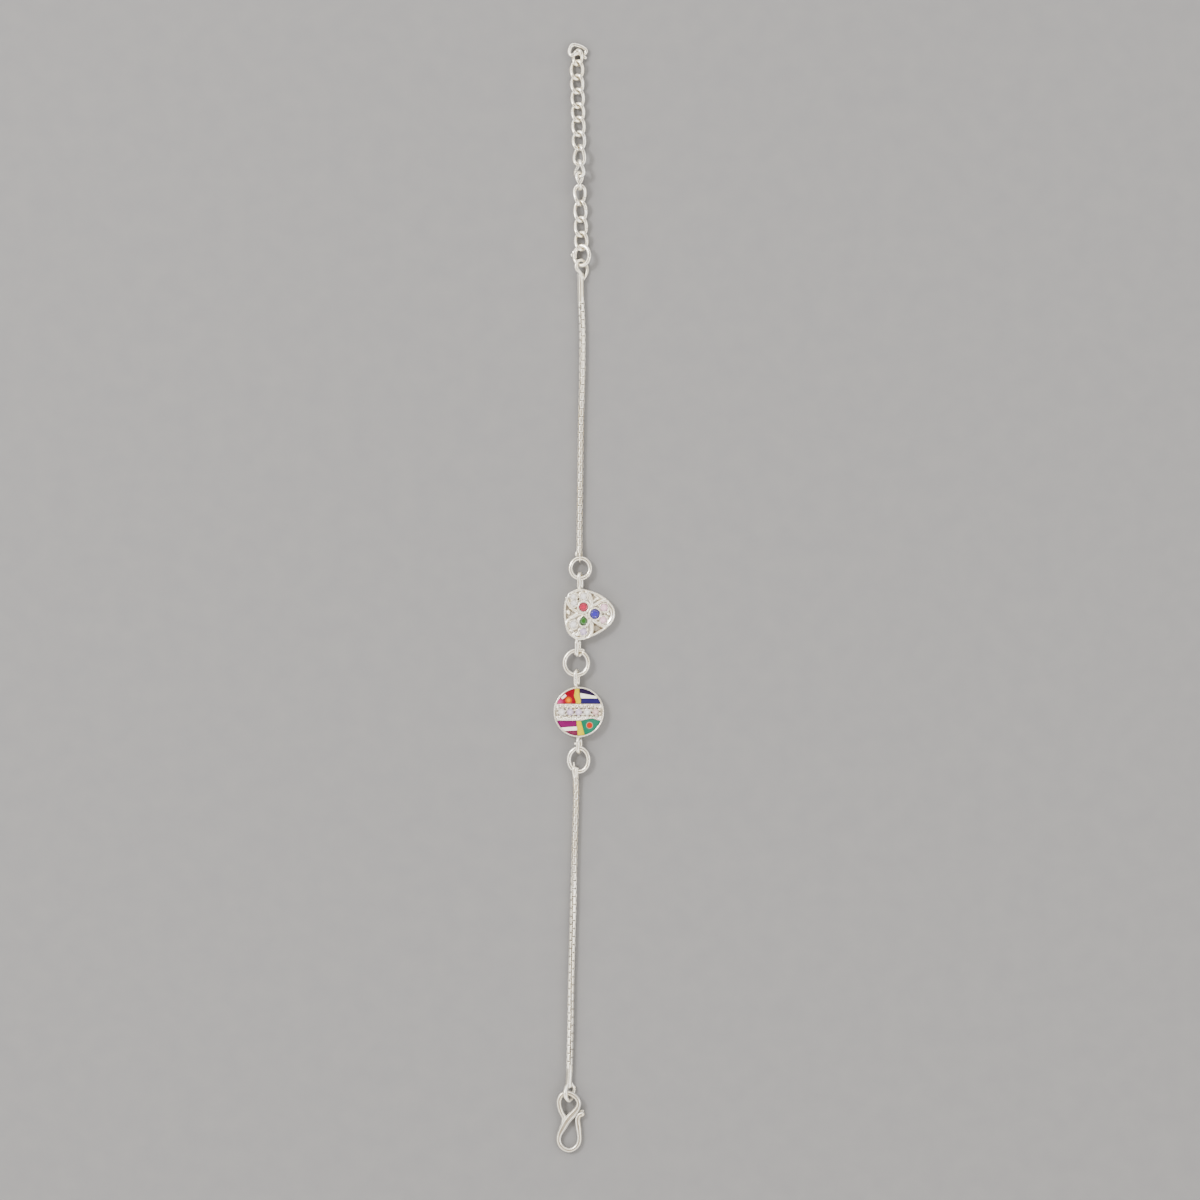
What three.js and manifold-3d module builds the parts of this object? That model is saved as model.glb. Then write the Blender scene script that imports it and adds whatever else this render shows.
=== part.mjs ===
// Charm bracelet, unfastened and laid out straight: an extender of curb links, a box chain, a jewelled
// trefoil charm, an enamelled disc charm, a second box chain and a hook clasp, joined by open jump rings.
// Millimetres. +X is across the bracelet, +Y runs along it towards the extender, and +Z is up from the
// surface that it lies on. The origin ends up below the middle of the whole bracelet, on that surface.
import * as THREE from "three";
import { mergeVertices } from "three/addons/utils/BufferGeometryUtils.js";
import Module from "manifold-3d";

const wasm = await Module();
wasm.setup();

const UP = new THREE.Vector3(0, 0, 1);
const ALONG = new THREE.Vector3(0, 1, 0);

// ---------------------------------------------------------------- driving dimensions

const LINK_WIRE = 0.5;
const LINK_WAVE = 0.36; // how far a curb link's sides rise and dip, so that linked wires pass each other
const HOOKED = 0.31; // from a junction to the centreline of either wire hooked there
const CHAIN_WIDTH = 1.0;
const CHAIN_LIE = CHAIN_WIDTH / 2 + 0.01; // height of a chain's centreline where it lies on the surface
const CHAIN_LOOP_WIRE = 0.55;
const END_LINK_WIRE = 0.32;
const CHARM_LOOP_WIRE = 0.65;
const CHARM_LOOP_HEIGHT = 2.2;
const CHARM_LOOP_TILT = 20; // degrees that the charms' soldered loops lean from upright
const HOOK_WIRE = 0.9;

// The extender's junctions from its end ring down. Each row after the first also tells how wide the link
// above that junction is, and how far it is rolled about the extender's line: half a turn in all.
const JUNCTIONS = [
  { x: -1.09, y: 98.56, z: 0.7 },
  { x: -1.36, y: 96.61, z: 0.64, width: 2.2, roll: 0 },
  { x: -1.36, y: 94.07, z: 0.63, width: 2.7, roll: 0 },
  { x: -1.27, y: 91.54, z: 0.63, width: 2.7, roll: 0 },
  { x: -1.18, y: 88.92, z: 0.63, width: 2.7, roll: 0 },
  { x: -1.14, y: 86.47, z: 0.63, width: 2.7, roll: 0 },
  { x: -1.05, y: 83.85, z: 0.63, width: 2.7, roll: 0 },
  { x: -0.97, y: 81.31, z: 0.92, width: 2.7, roll: 0 },
  { x: -0.93, y: 78.51, z: 1.38, width: 2.7, roll: -30 },
  { x: -0.88, y: 76.34, z: 1.4, width: 2.7, roll: -55 },
  { x: -0.85, y: 74.08, z: 1.36, width: 2.7, roll: -105 },
  { x: -0.78, y: 71.28, z: 0.85, width: 2.7, roll: -155 },
  { x: -0.67, y: 68.38, z: 0.63, width: 2.7, roll: -180 },
  { x: -0.66, y: 65.67, z: 0.68, width: 2.7, roll: -180 },
  { x: -0.53, y: 63.19, z: 1.02, width: 2.7, roll: -180 },
];

// The bent wire ring that the extender ends in, from its tucked end to its free one.
const END_RING_WIRE = 0.52;
const END_RING_ROUTE = [
  { x: 0.12, y: 97.62, z: 0.27 },
  { x: -0.45, y: 98.02, z: 0.27 },
  { x: -1.09, y: 98.25, z: 0.6 },
  { x: -1.7, y: 98.12, z: 1.08 },
  { x: -2.35, y: 97.92, z: 1.14 },
  { x: -2.75, y: 98.48, z: 0.85 },
  { x: -2.59, y: 99.35, z: 0.6 },
  { x: -2.12, y: 99.92, z: 0.55 },
  { x: -1.27, y: 99.84, z: 0.5 },
  { x: -0.27, y: 99.43, z: 0.45 },
  { x: 0.33, y: 98.87, z: 0.42 },
  { x: 0.17, y: 98.42, z: 0.42 },
];

// Jump rings: outer width and length, wire, and the degrees that the right side or the far end is raised.
const JUMP_RINGS = [
  { name: "extender_ring", x: -0.48, y: 61.78, z: 1.0, width: 3.7, length: 4.34, wire: 0.66, lean: 25 },
  { name: "ring_upper", x: -0.75, y: 5.32, z: 0.98, width: 4.33, length: 4.47, wire: 0.74, pitch: -3.7 },
  { name: "ring_middle", x: -1.47, y: -11.77, z: 1.1, width: 5.05, length: 5.2, wire: 0.73 },
  { name: "ring_lower", x: -1.05, y: -29.27, z: 0.98, width: 4.35, length: 5.1, wire: 0.75, pitch: 3.2 },
];

const CHAIN_UPPER_ROUTE = [
  { x: -0.7, y: 57.9, z: 0.62 },
  { x: -0.63, y: 54.0, z: CHAIN_LIE },
  { x: -0.45, y: 49.0, z: CHAIN_LIE },
  { x: -0.45, y: 40.0, z: CHAIN_LIE },
  { x: -0.6, y: 33.5, z: CHAIN_LIE },
  { x: -0.72, y: 26.0, z: CHAIN_LIE },
  { x: -0.81, y: 18.5, z: CHAIN_LIE },
  { x: -0.91, y: 11.5, z: CHAIN_LIE },
  { x: -0.9, y: 7.95, z: 0.84 },
];
// The wire loop soldered over the upper chain's end, from its left strand round to its right one.
const UPPER_LOOP_ROUTE = [
  { x: -0.42, y: 57.7, z: 1.0 },
  { x: -0.75, y: 58.6, z: 1.25 },
  { x: -1.35, y: 59.3, z: 1.5 },
  { x: -1.47, y: 60.1, z: 1.5 },
  { x: -1.15, y: 60.75, z: 1.2 },
  { x: -0.6, y: 60.97, z: 0.95 },
  { x: -0.05, y: 60.75, z: 0.65 },
  { x: 0.3, y: 60.2, z: 0.36 },
  { x: 0.5, y: 59.45, z: 0.3 },
  { x: 0.35, y: 58.5, z: 0.36 },
  { x: -0.2, y: 57.5, z: 0.5 },
];
const CHAIN_LOWER_ROUTE = [
  { x: -1.6, y: -32.15, z: 0.84 },
  { x: -1.5, y: -35.4, z: CHAIN_LIE },
  { x: -1.65, y: -40.9, z: CHAIN_LIE },
  { x: -1.83, y: -46.5, z: CHAIN_LIE },
  { x: -2.1, y: -57.0, z: CHAIN_LIE },
  { x: -2.4, y: -69.2, z: CHAIN_LIE },
  { x: -2.48, y: -76.1, z: CHAIN_LIE },
  { x: -2.62, y: -82.5, z: CHAIN_LIE },
  { x: -2.85, y: -88.0, z: 0.6 },
];
// The wire loop at the lower chain's end, over the hook's eye and back beneath it.
const LOWER_LOOP_ROUTE = [
  { x: -2.95, y: -87.7, z: 0.85 },
  { x: -3.3, y: -88.5, z: 1.5 },
  { x: -3.45, y: -89.3, z: 1.9 },
  { x: -3.3, y: -90.2, z: 1.7 },
  { x: -2.78, y: -90.85, z: 1.05 },
  { x: -2.25, y: -90.5, z: 0.5 },
  { x: -1.98, y: -89.6, z: 0.28 },
  { x: -1.9, y: -88.7, z: 0.36 },
  { x: -2.4, y: -87.7, z: 0.5 },
];
const LOWER_LOOP_BEAD = { x: -1.88, y: -88.75, z: 0.42, radius: 0.38 }; // solder bead on its outer side

// The small links at the chains' charm ends, each standing upright round a jump ring.
const END_LINKS = {
  upper: { x: -0.86, y: 7.39, z: 0.86, length: 2.1, height: 1.66 },
  lower: { x: -1.6, y: -31.53, z: 0.86, length: 2.1, height: 1.66 },
};

// The clasp's wire, from the end tucked beside its diagonal, round the eye, down the diagonal, round the
// hook and out to the tip. Its eye is held up by the chain's loop, and its hook rests on the surface.
const HOOK_ROUTE = [
  { x: -4.1, y: -95.3, z: 0.55 },
  { x: -3.72, y: -94.4, z: 0.68 },
  { x: -3.75, y: -93.7, z: 0.85 },
  { x: -4.25, y: -92.8, z: 0.98 },
  { x: -4.58, y: -91.6, z: 1.08 },
  { x: -4.56, y: -90.6, z: 1.1 },
  { x: -4.07, y: -89.75, z: 1.1 },
  { x: -3.17, y: -89.45, z: 1.1 },
  { x: -2.17, y: -89.7, z: 1.1 },
  { x: -1.36, y: -90.4, z: 1.08 },
  { x: -1.03, y: -91.2, z: 1.05 },
  { x: -1.21, y: -92.0, z: 1.0 },
  { x: -1.9, y: -93.0, z: 0.92 },
  { x: -2.72, y: -93.9, z: 0.83 },
  { x: -3.44, y: -94.9, z: 0.74 },
  { x: -4.02, y: -96.0, z: 0.64 },
  { x: -4.47, y: -96.9, z: 0.55 },
  { x: -4.66, y: -97.9, z: 0.48 },
  { x: -4.38, y: -98.9, z: 0.45 },
  { x: -3.66, y: -99.6, z: 0.45 },
  { x: -2.78, y: -99.86, z: 0.45 },
  { x: -1.9, y: -99.55, z: 0.45 },
  { x: -1.18, y: -98.8, z: 0.46 },
  { x: -0.92, y: -97.8, z: 0.48 },
  { x: -1.0, y: -96.5, z: 0.5 },
  { x: -1.18, y: -95.2, z: 0.52 },
  { x: -1.25, y: -94.25, z: 0.54 },
  { x: -1.0, y: -93.6, z: 0.55 },
  { x: -0.45, y: -93.2, z: 0.55 },
];
const HOOK_STEPS = 60;
const HOOK_SPLIT = 21; // the step where the eye's wire hands over to the hook's
const HOOK_TIP_RADIUS = 0.5;

// The trefoil charm: a rounded triangle with its point to the right, in a frame at its own middle.
const TREFOIL = { x: 0.83, y: -2.99, base: 0.9, rimTop: 1.5, petalTop: 1.6, rimWidth: 0.36 };
const TREFOIL_CORNERS = [
  { x: 2.02, y: 0.11, radius: 2.72, from: -38, to: 35 },
  { x: -1.45, y: 1.55, radius: 3.1, from: 80, to: 172 },
  { x: -1.6, y: -1.9, radius: 2.72, from: 196, to: 285 },
];
// Outlines of the three raised petals, each running out to the rim.
const PETALS = [
  [
    [0.5, 1.3], [0.58, 2.4], [0.28, 3.4], [-0.3, 4.4], [-2.2, 4.9], [-4.1, 3.9], [-4.3, 3.0], [-3.95, 2.1],
    [-3.0, 0.95], [-1.9, 0.12], [-1.0, 0.1], [-0.05, 0.65],
  ],
  [
    [-0.5, 0.1], [-1.4, 0.18], [-2.4, 0.08], [-3.35, -0.5], [-4.05, -1.15], [-4.5, -2.0], [-4.1, -3.6],
    [-2.2, -5.0], [0.0, -4.6], [0.3, -3.9], [0.63, -2.95], [0.63, -1.85], [0.2, -1.05], [-0.15, -0.3],
  ],
  [
    [-0.2, 0.1], [0.1, 0.9], [0.56, 1.45], [1.35, 1.86], [2.1, 2.34], [2.9, 2.58], [3.8, 2.2], [4.45, 1.3],
    [4.6, 0.1], [4.1, -1.2], [3.45, -1.97], [2.72, -2.27], [2.05, -2.1], [1.3, -1.58], [0.5, -1.18],
    [-0.15, -0.6],
  ],
];
const TREFOIL_LOOPS = [
  { x: -0.76, free: 4.76, fixed: 1.15 },
  { x: -1.18, free: -10.72, fixed: -7.15 },
];
const TREFOIL_STONES = [
  { name: "stone_ruby", slot: "stone_ruby", x: -1.0, y: 1.3, radius: 0.8, top: 2.05 },
  { name: "stone_blue", slot: "stone_blue", x: 1.05, y: 0.07, radius: 0.88, top: 2.1 },
  { name: "stone_pink_upper", slot: "stone_pink", x: 2.73, y: 1.21, radius: 0.68, top: 1.95 },
  { name: "stone_pink_lower", slot: "stone_pink", x: 2.57, y: -1.0, radius: 0.62, top: 1.95 },
  { name: "stone_white_1", slot: "stone_clear", x: -2.8, y: 3.22, radius: 0.52, top: 1.9 },
  { name: "stone_white_2", slot: "stone_clear", x: -1.0, y: 3.25, radius: 0.62, top: 1.9 },
  { name: "stone_white_3", slot: "stone_clear", x: -2.7, y: 1.98, radius: 0.58, top: 1.9 },
  { name: "stone_white_4", slot: "stone_clear", x: -2.85, y: -1.85, radius: 0.66, top: 1.9 },
  { name: "stone_white_5", slot: "stone_clear", x: -1.03, y: -3.12, radius: 0.66, top: 1.9 },
];
const PEAR_STONE = {
  name: "stone_green", slot: "stone_green", x: -1.0, y: -1.12, width: 1.42, length: 1.75, top: 2.0,
};
const POCKET_FLOOR = 1.0;
const STONE_GAP = 0.06;
const STONE_SIDES = 8;
const PEAR_SPREAD = 1.5; // how much further a pear's point moves than its sides as its outline grows

// The disc charm. Its face is laid out in shares of its radius, u across and v along the bracelet.
const DISC = {
  x: -1.03, y: -20.62, radius: 4.575, rim: 0.32, base: 0.9, rimTop: 1.6, enamelTop: 1.5, paveTop: 1.45,
};
const DISC_LOOPS = [
  { x: -1.39, free: -12.8, fixed: -16.32 },
  { x: -0.96, free: -28.26, fixed: -24.92 },
];
const PAVE_OUTLINE = [
  [-1, 0.315], [-1, -0.335], [0.1, -0.325], [0.32, -0.28],
  [0.54, -0.25], [0.8, -0.335], [1, -0.335], [1, 0.315],
];
const PAVE_STONE_RADIUS = 0.66;
const PAVE_STONE_PITCH = 1.53;
const PAVE_STONES = 5;
const DISC_SIDES = 44;
const CELL_GAP = 0.02; // between two enamel cells, as a share of the radius
const BAND_UPPER_LEFT = [[-0.12, 1], [-0.18, 0.63], [-0.11, 0.44], [-0.1, 0.34]];
const BAND_UPPER_RIGHT = [[0.0, 1], [0.02, 0.66], [0.08, 0.44], [0.06, 0.34]];
const BAND_LOWER_LEFT = [[-0.08, -0.355], [-0.06, -0.58], [-0.03, -1]];
const BAND_LOWER_RIGHT = [[0.08, -0.355], [0.15, -0.63], [0.25, -1]];
const DOT_ORANGE = { u: -0.4, v: 0.467, radius: 0.13 };
const DOT_RED = { u: 0.427, v: -0.525, radius: 0.13 };
const DASH = { from: [-0.67, 0.54], to: [-0.51, 0.67], thickness: 0.09 };
const ENAMEL_CELLS = [
  { name: "enamel_yellow_upper", slot: "enamel_yellow",
    outline: [...BAND_UPPER_LEFT, ...reversed(BAND_UPPER_RIGHT)] },
  { name: "enamel_red", slot: "enamel_red",
    outline: [[-1, 1], [-1, 0.34], ...reversed(shifted(BAND_UPPER_LEFT, -1))] },
  { name: "enamel_navy", slot: "enamel_navy",
    outline: [[0.03, 1], [0.045, 0.765], [0.66, 0.645], [1, 0.57], [1, 1]] },
  { name: "enamel_white_upper", slot: "enamel_white",
    outline: [[0.065, 0.74], [0.09, 0.55], [1, 0.545], [1, 0.55], [0.66, 0.622]] },
  { name: "enamel_blue", slot: "enamel_blue",
    outline: [[0.1, 0.53], [0.1, 0.34], [1, 0.34], [1, 0.525]] },
  { name: "enamel_purple", slot: "enamel_purple",
    outline: [[-1, -0.355], [-1, -0.62], [-0.09, -0.56], [-0.1, -0.355]] },
  { name: "enamel_white_lower", slot: "enamel_white",
    outline: [[-1, -0.64], [-1, -0.76], [-0.065, -0.715], [-0.08, -0.58]] },
  { name: "enamel_mauve", slot: "enamel_mauve",
    outline: [[-1, -0.78], [-1, -1], [-0.05, -1], [-0.06, -0.735]] },
  { name: "enamel_yellow_lower", slot: "enamel_yellow",
    outline: [...BAND_LOWER_LEFT, ...reversed(BAND_LOWER_RIGHT)] },
  { name: "enamel_teal", slot: "enamel_teal",
    outline: [
      ...shifted(BAND_LOWER_RIGHT, 1), [1, -1], [1, -0.355], [0.8, -0.355], [0.54, -0.272], [0.32, -0.302],
    ] },
];

// Colour, roughness and metalness of each finish.
const FINISHES = {
  silver: [0xf2efe4, 0.2, 1],
  stone_ruby: [0xd93f58, 0.06, 0],
  stone_blue: [0x2f2bc0, 0.06, 0],
  stone_green: [0x3f8a33, 0.06, 0],
  stone_pink: [0xf0cdd6, 0.05, 0],
  stone_clear: [0xf1f1ee, 0.05, 0],
  enamel_red: [0xb91428, 0.12, 0],
  enamel_orange: [0xff9628, 0.12, 0],
  enamel_yellow: [0xf0dc32, 0.12, 0],
  enamel_navy: [0x281450, 0.12, 0],
  enamel_white: [0xf6f4ea, 0.14, 0],
  enamel_blue: [0x23197d, 0.12, 0],
  enamel_purple: [0x9b3c7d, 0.12, 0],
  enamel_mauve: [0x914664, 0.12, 0],
  enamel_teal: [0x28967f, 0.12, 0],
  enamel_coral: [0xd74b2d, 0.12, 0],
};

// ---------------------------------------------------------------- helpers

function reversed(points) {
  return [...points].reverse();
}

// A band's edge moved sideways by one cell gap, to the right where side is 1 and to the left where it is -1.
function shifted(points, side) {
  return points.map(([u, v]) => [u + side * CELL_GAP, v]);
}

function vectors(rows) {
  return rows.map(({ x, y, z }) => new THREE.Vector3(x, y, z));
}

function piece(name, slot, geometry) {
  const [color, roughness, metalness] = FINISHES[slot];
  const mesh = new THREE.Mesh(geometry, new THREE.MeshStandardMaterial({ color, roughness, metalness }));
  mesh.name = name;
  return mesh;
}

function toSolid(geometry) {
  const bare = geometry.clone();
  bare.deleteAttribute("normal");
  bare.deleteAttribute("uv");
  const merged = mergeVertices(bare, 1e-4);
  return new wasm.Manifold(new wasm.Mesh({
    numProp: 3,
    vertProperties: Float32Array.from(merged.getAttribute("position").array),
    triVerts: Uint32Array.from(merged.getIndex().array),
  }));
}

function toGeometry(solid) {
  const { vertProperties, triVerts } = solid.getMesh();
  const geometry = new THREE.BufferGeometry();
  geometry.setAttribute("position", new THREE.BufferAttribute(new Float32Array(vertProperties), 3));
  geometry.setIndex(new THREE.BufferAttribute(new Uint32Array(triVerts), 1));
  geometry.computeVertexNormals();
  return geometry;
}

function joined(geometries) {
  return geometries.map(toSolid).reduce((whole, part) => whole.add(part));
}

function polygon(radius, sides) {
  const corners = Array.from({ length: sides }, (_, k) => {
    const angle = (2 * Math.PI * (k + 0.5)) / sides;
    return new THREE.Vector2(radius * Math.cos(angle), radius * Math.sin(angle));
  });
  return new THREE.Shape(corners);
}

// A closed oval centreline in the XY plane, whose sides rise and dip twice each round by the wave.
class Oval extends THREE.Curve {
  constructor(halfWidth, halfLength, wave = 0) {
    super();
    Object.assign(this, { halfWidth, halfLength, wave });
  }

  getPoint(t, target = new THREE.Vector3()) {
    const angle = 2 * Math.PI * t;
    const height = this.wave * Math.sin(2 * angle);
    return target.set(this.halfWidth * Math.cos(angle), this.halfLength * Math.sin(angle), height);
  }

  getTangent(t, target = new THREE.Vector3()) {
    const angle = 2 * Math.PI * t;
    const rise = 2 * this.wave * Math.cos(2 * angle);
    return target.set(-this.halfWidth * Math.sin(angle), this.halfLength * Math.cos(angle), rise).normalize();
  }
}

// A closed centreline of two straight sides joined by half circles, in the XY plane and longest along Y.
class Stadium extends THREE.Curve {
  constructor(radius, halfLength) {
    super();
    Object.assign(this, { radius, straight: halfLength - radius });
  }

  // Which half of the centreline a share of it lies on, and how far along that half's side or end.
  locate(t) {
    const half = 2 * this.straight + Math.PI * this.radius;
    const distance = 2 * half * (t % 1);
    const side = distance < half ? 1 : -1;
    const along = side === 1 ? distance : distance - half;
    return { side, along, angle: (along - 2 * this.straight) / this.radius };
  }

  getPoint(t, target = new THREE.Vector3()) {
    const { side, along, angle } = this.locate(t);
    if (angle < 0) target.set(this.radius, along - this.straight, 0);
    else target.set(this.radius * Math.cos(angle), this.straight + this.radius * Math.sin(angle), 0);
    return target.multiplyScalar(side);
  }

  getTangent(t, target = new THREE.Vector3()) {
    const { side, angle } = this.locate(t);
    const turned = Math.max(angle, 0);
    return target.set(-Math.sin(turned), Math.cos(turned), 0).multiplyScalar(side);
  }
}

// The stretch of a whole curve between two of its equal steps, with the whole's own points and frames.
class Stretch extends THREE.Curve {
  constructor(whole, wholeSteps, from, to) {
    super();
    Object.assign(this, { whole, wholeSteps, from, to });
  }

  getSpacedPoints() {
    return this.whole.getSpacedPoints(this.wholeSteps).slice(this.from, this.to + 1);
  }

  computeFrenetFrames() {
    const { tangents, normals, binormals } = this.whole.computeFrenetFrames(this.wholeSteps, false);
    const [t, n, b] = [tangents, normals, binormals].map((rows) => rows.slice(this.from, this.to + 1));
    return { tangents: t, normals: n, binormals: b };
  }
}

// A closed loop of round wire: a torus whose vertices are moved onto a closed centreline.
function closedWire(centreline, wire, steps, sides) {
  const geometry = new THREE.TorusGeometry(1, wire / 2, sides, steps);
  const position = geometry.getAttribute("position");
  const uv = geometry.getAttribute("uv");
  for (let i = 0; i < position.count; i++) {
    const along = uv.getX(i) % 1;
    const around = 2 * Math.PI * (uv.getY(i) % 1);
    const tangent = centreline.getTangent(along);
    const outward = tangent.clone().cross(UP).normalize();
    const upward = outward.clone().cross(tangent);
    const vertex = centreline.getPoint(along)
      .addScaledVector(outward, (wire / 2) * Math.cos(around))
      .addScaledVector(upward, (wire / 2) * Math.sin(around));
    position.setXYZ(i, vertex.x, vertex.y, vertex.z);
  }
  return geometry;
}

function openWire(curve, wire, steps, sides = 8) {
  const section = polygon(wire / 2, sides);
  return new THREE.ExtrudeGeometry(section, { steps, extrudePath: curve, bevelEnabled: false });
}

function prism(shape, bottom, top, curveSegments = 8) {
  return new THREE.ExtrudeGeometry(shape, { depth: top - bottom, bevelEnabled: false, curveSegments })
    .translate(0, 0, bottom);
}

function post(x, y, radius, bottom, top, sides = STONE_SIDES) {
  return prism(polygon(radius, sides), bottom, top).translate(x, y, 0);
}

// ---------------------------------------------------------------- extender

function extenderLink(index) {
  const above = JUNCTIONS[index - 1];
  const below = JUNCTIONS[index];
  const [top, bottom] = vectors([above, below]);
  const direction = top.clone().sub(bottom);
  const oval = new Oval((below.width - LINK_WIRE) / 2, direction.length() / 2 + HOOKED, LINK_WAVE);
  const name = `extender_link_${String(index).padStart(2, "0")}`;
  const link = piece(name, "silver", closedWire(oval, LINK_WIRE, 20, 6));
  const aim = new THREE.Quaternion().setFromUnitVectors(ALONG, direction.clone().normalize());
  const roll = new THREE.Quaternion().setFromAxisAngle(ALONG, THREE.MathUtils.degToRad(below.roll));
  link.quaternion.copy(aim.multiply(roll));
  link.position.copy(top).add(bottom).multiplyScalar(0.5);
  return link;
}

function extender() {
  const group = new THREE.Group();
  const endRing = new THREE.CatmullRomCurve3(vectors(END_RING_ROUTE));
  group.add(piece("extender_end_ring", "silver", openWire(endRing, END_RING_WIRE, 30, 6)));
  for (let index = 1; index < JUNCTIONS.length; index++) group.add(extenderLink(index));
  return group;
}

// ---------------------------------------------------------------- jump rings

function jumpRing({ name, x, y, z, width, length, wire, lean = 0, pitch = 0 }) {
  const oval = new Oval((width - wire) / 2, (length - wire) / 2);
  const ring = piece(name, "silver", closedWire(oval, wire, 24, 8));
  ring.rotation.set(THREE.MathUtils.degToRad(pitch), THREE.MathUtils.degToRad(-lean), 0);
  ring.position.set(x, y, z);
  return ring;
}

// ---------------------------------------------------------------- box chains

function endLink({ x, y, z, length, height }) {
  const centreline = new Stadium((height - END_LINK_WIRE) / 2, (length - END_LINK_WIRE) / 2);
  return closedWire(centreline, END_LINK_WIRE, 16, 6).rotateY(Math.PI / 2).translate(x, y, z);
}

function chain(name, route, loopRoute, link, extras) {
  const parts = [
    openWire(new THREE.CatmullRomCurve3(vectors(route)), CHAIN_WIDTH, 24),
    openWire(new THREE.CatmullRomCurve3(vectors(loopRoute)), CHAIN_LOOP_WIRE, 24, 6),
    endLink(link),
    ...extras,
  ];
  return piece(name, "silver", toGeometry(joined(parts)));
}

function solderBead({ x, y, z, radius }) {
  return new THREE.SphereGeometry(radius, 12, 8).translate(x, y, z);
}

// ---------------------------------------------------------------- charms

// A soldered oval loop that stands nearly upright at a charm's edge, from its free end into the charm.
function charmLoop({ x, free, fixed }) {
  const halfLength = (Math.abs(free - fixed) - CHARM_LOOP_WIRE) / 2;
  const centreline = new Stadium((CHARM_LOOP_HEIGHT - CHARM_LOOP_WIRE) / 2, halfLength);
  return closedWire(centreline, CHARM_LOOP_WIRE, 22, 6)
    .rotateY(THREE.MathUtils.degToRad(90 - CHARM_LOOP_TILT))
    .translate(x, (free + fixed) / 2, CHARM_LOOP_HEIGHT / 2);
}

// Where the tangents of two corner arcs meet, at the end of one and the start of the next.
function tangentMeeting(a, normalA, b, normalB) {
  const reachA = a.x * Math.cos(normalA) + a.y * Math.sin(normalA) + a.radius;
  const reachB = b.x * Math.cos(normalB) + b.y * Math.sin(normalB) + b.radius;
  const spread = Math.sin(normalB - normalA);
  return new THREE.Vector2(
    (reachA * Math.sin(normalB) - reachB * Math.sin(normalA)) / spread,
    (reachB * Math.cos(normalA) - reachA * Math.cos(normalB)) / spread,
  );
}

function trefoilShape(inset) {
  const corners = TREFOIL_CORNERS.map(({ x, y, radius, from, to }) => ({
    x, y, radius: radius - inset, from: THREE.MathUtils.degToRad(from), to: THREE.MathUtils.degToRad(to),
  }));
  const shape = new THREE.Shape();
  corners.forEach((corner, k) => {
    const next = corners[(k + 1) % corners.length];
    shape.absarc(corner.x, corner.y, corner.radius, corner.from, corner.to, false);
    const bulge = tangentMeeting(corner, corner.to, next, next.from);
    const end = [next.x + next.radius * Math.cos(next.from), next.y + next.radius * Math.sin(next.from)];
    shape.quadraticCurveTo(bulge.x, bulge.y, ...end);
  });
  return shape;
}

function petalShape(outline) {
  const curve = new THREE.CatmullRomCurve3(outline.map(([x, y]) => new THREE.Vector3(x, y, 0)), true);
  const points = curve.getPoints(2 * outline.length).slice(0, -1);
  return new THREE.Shape(points.map(({ x, y }) => new THREE.Vector2(x, y)));
}

function pearShape(grow) {
  const { width, length } = PEAR_STONE;
  const radius = width / 2 + grow;
  const middle = -length / 2 + width / 2;
  const shape = new THREE.Shape();
  shape.absarc(0, middle, radius, THREE.MathUtils.degToRad(150), THREE.MathUtils.degToRad(390), false);
  shape.lineTo(0, length / 2 + PEAR_SPREAD * grow);
  return shape;
}

// A faceted stone: flat below, widest at its girdle and cut in to a flat table.
function roundStone({ x, y, radius, top }) {
  const bottom = POCKET_FLOOR + STONE_GAP;
  const profile = [[0, bottom], [0.8 * radius, bottom], [radius, top - 0.35], [0.62 * radius, top], [0, top]];
  return new THREE.LatheGeometry(profile.map(([r, z]) => new THREE.Vector2(r, z)), STONE_SIDES)
    .rotateX(Math.PI / 2)
    .rotateZ(Math.PI / STONE_SIDES)
    .translate(x, y, 0);
}

function trefoilBody() {
  const plate = prism(trefoilShape(0), 0, TREFOIL.base);
  const rim = toSolid(prism(trefoilShape(0), TREFOIL.base - 0.1, TREFOIL.rimTop))
    .subtract(toSolid(prism(trefoilShape(TREFOIL.rimWidth), 0, TREFOIL.rimTop + 1)));
  const petalPlates = PETALS.map((outline) => prism(petalShape(outline), TREFOIL.base - 0.1, TREFOIL.petalTop));
  const petals = joined(petalPlates)
    .intersect(toSolid(prism(trefoilShape(TREFOIL.rimWidth / 2), 0, TREFOIL.petalTop + 1)));
  const loops = TREFOIL_LOOPS.map((loop) => charmLoop(loop).translate(-TREFOIL.x, -TREFOIL.y, 0));
  const pockets = TREFOIL_STONES.map(({ x, y, radius }) => post(x, y, radius + STONE_GAP, POCKET_FLOOR, 3));
  pockets.push(prism(pearShape(STONE_GAP), POCKET_FLOOR, 3).translate(PEAR_STONE.x, PEAR_STONE.y, 0));
  return joined([plate, ...loops]).add(rim).add(petals).subtract(joined(pockets));
}

function trefoilCharm() {
  const group = new THREE.Group();
  group.add(piece("trefoil_body", "silver", toGeometry(trefoilBody())));
  for (const stone of TREFOIL_STONES) group.add(piece(stone.name, stone.slot, roundStone(stone)));
  const bevel = 0.28;
  const pear = new THREE.ExtrudeGeometry(pearShape(-bevel), {
    depth: PEAR_STONE.top - POCKET_FLOOR - STONE_GAP - 2 * bevel,
    bevelEnabled: true, bevelSegments: 1, bevelThickness: bevel, bevelSize: bevel, curveSegments: 7,
  }).translate(PEAR_STONE.x, PEAR_STONE.y, POCKET_FLOOR + STONE_GAP + bevel);
  group.add(piece(PEAR_STONE.name, PEAR_STONE.slot, pear));
  group.position.set(TREFOIL.x, TREFOIL.y, 0);
  return group;
}

function faceShape(outline) {
  return new THREE.Shape(outline.map(([u, v]) => new THREE.Vector2(u * DISC.radius, v * DISC.radius)));
}

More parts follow.
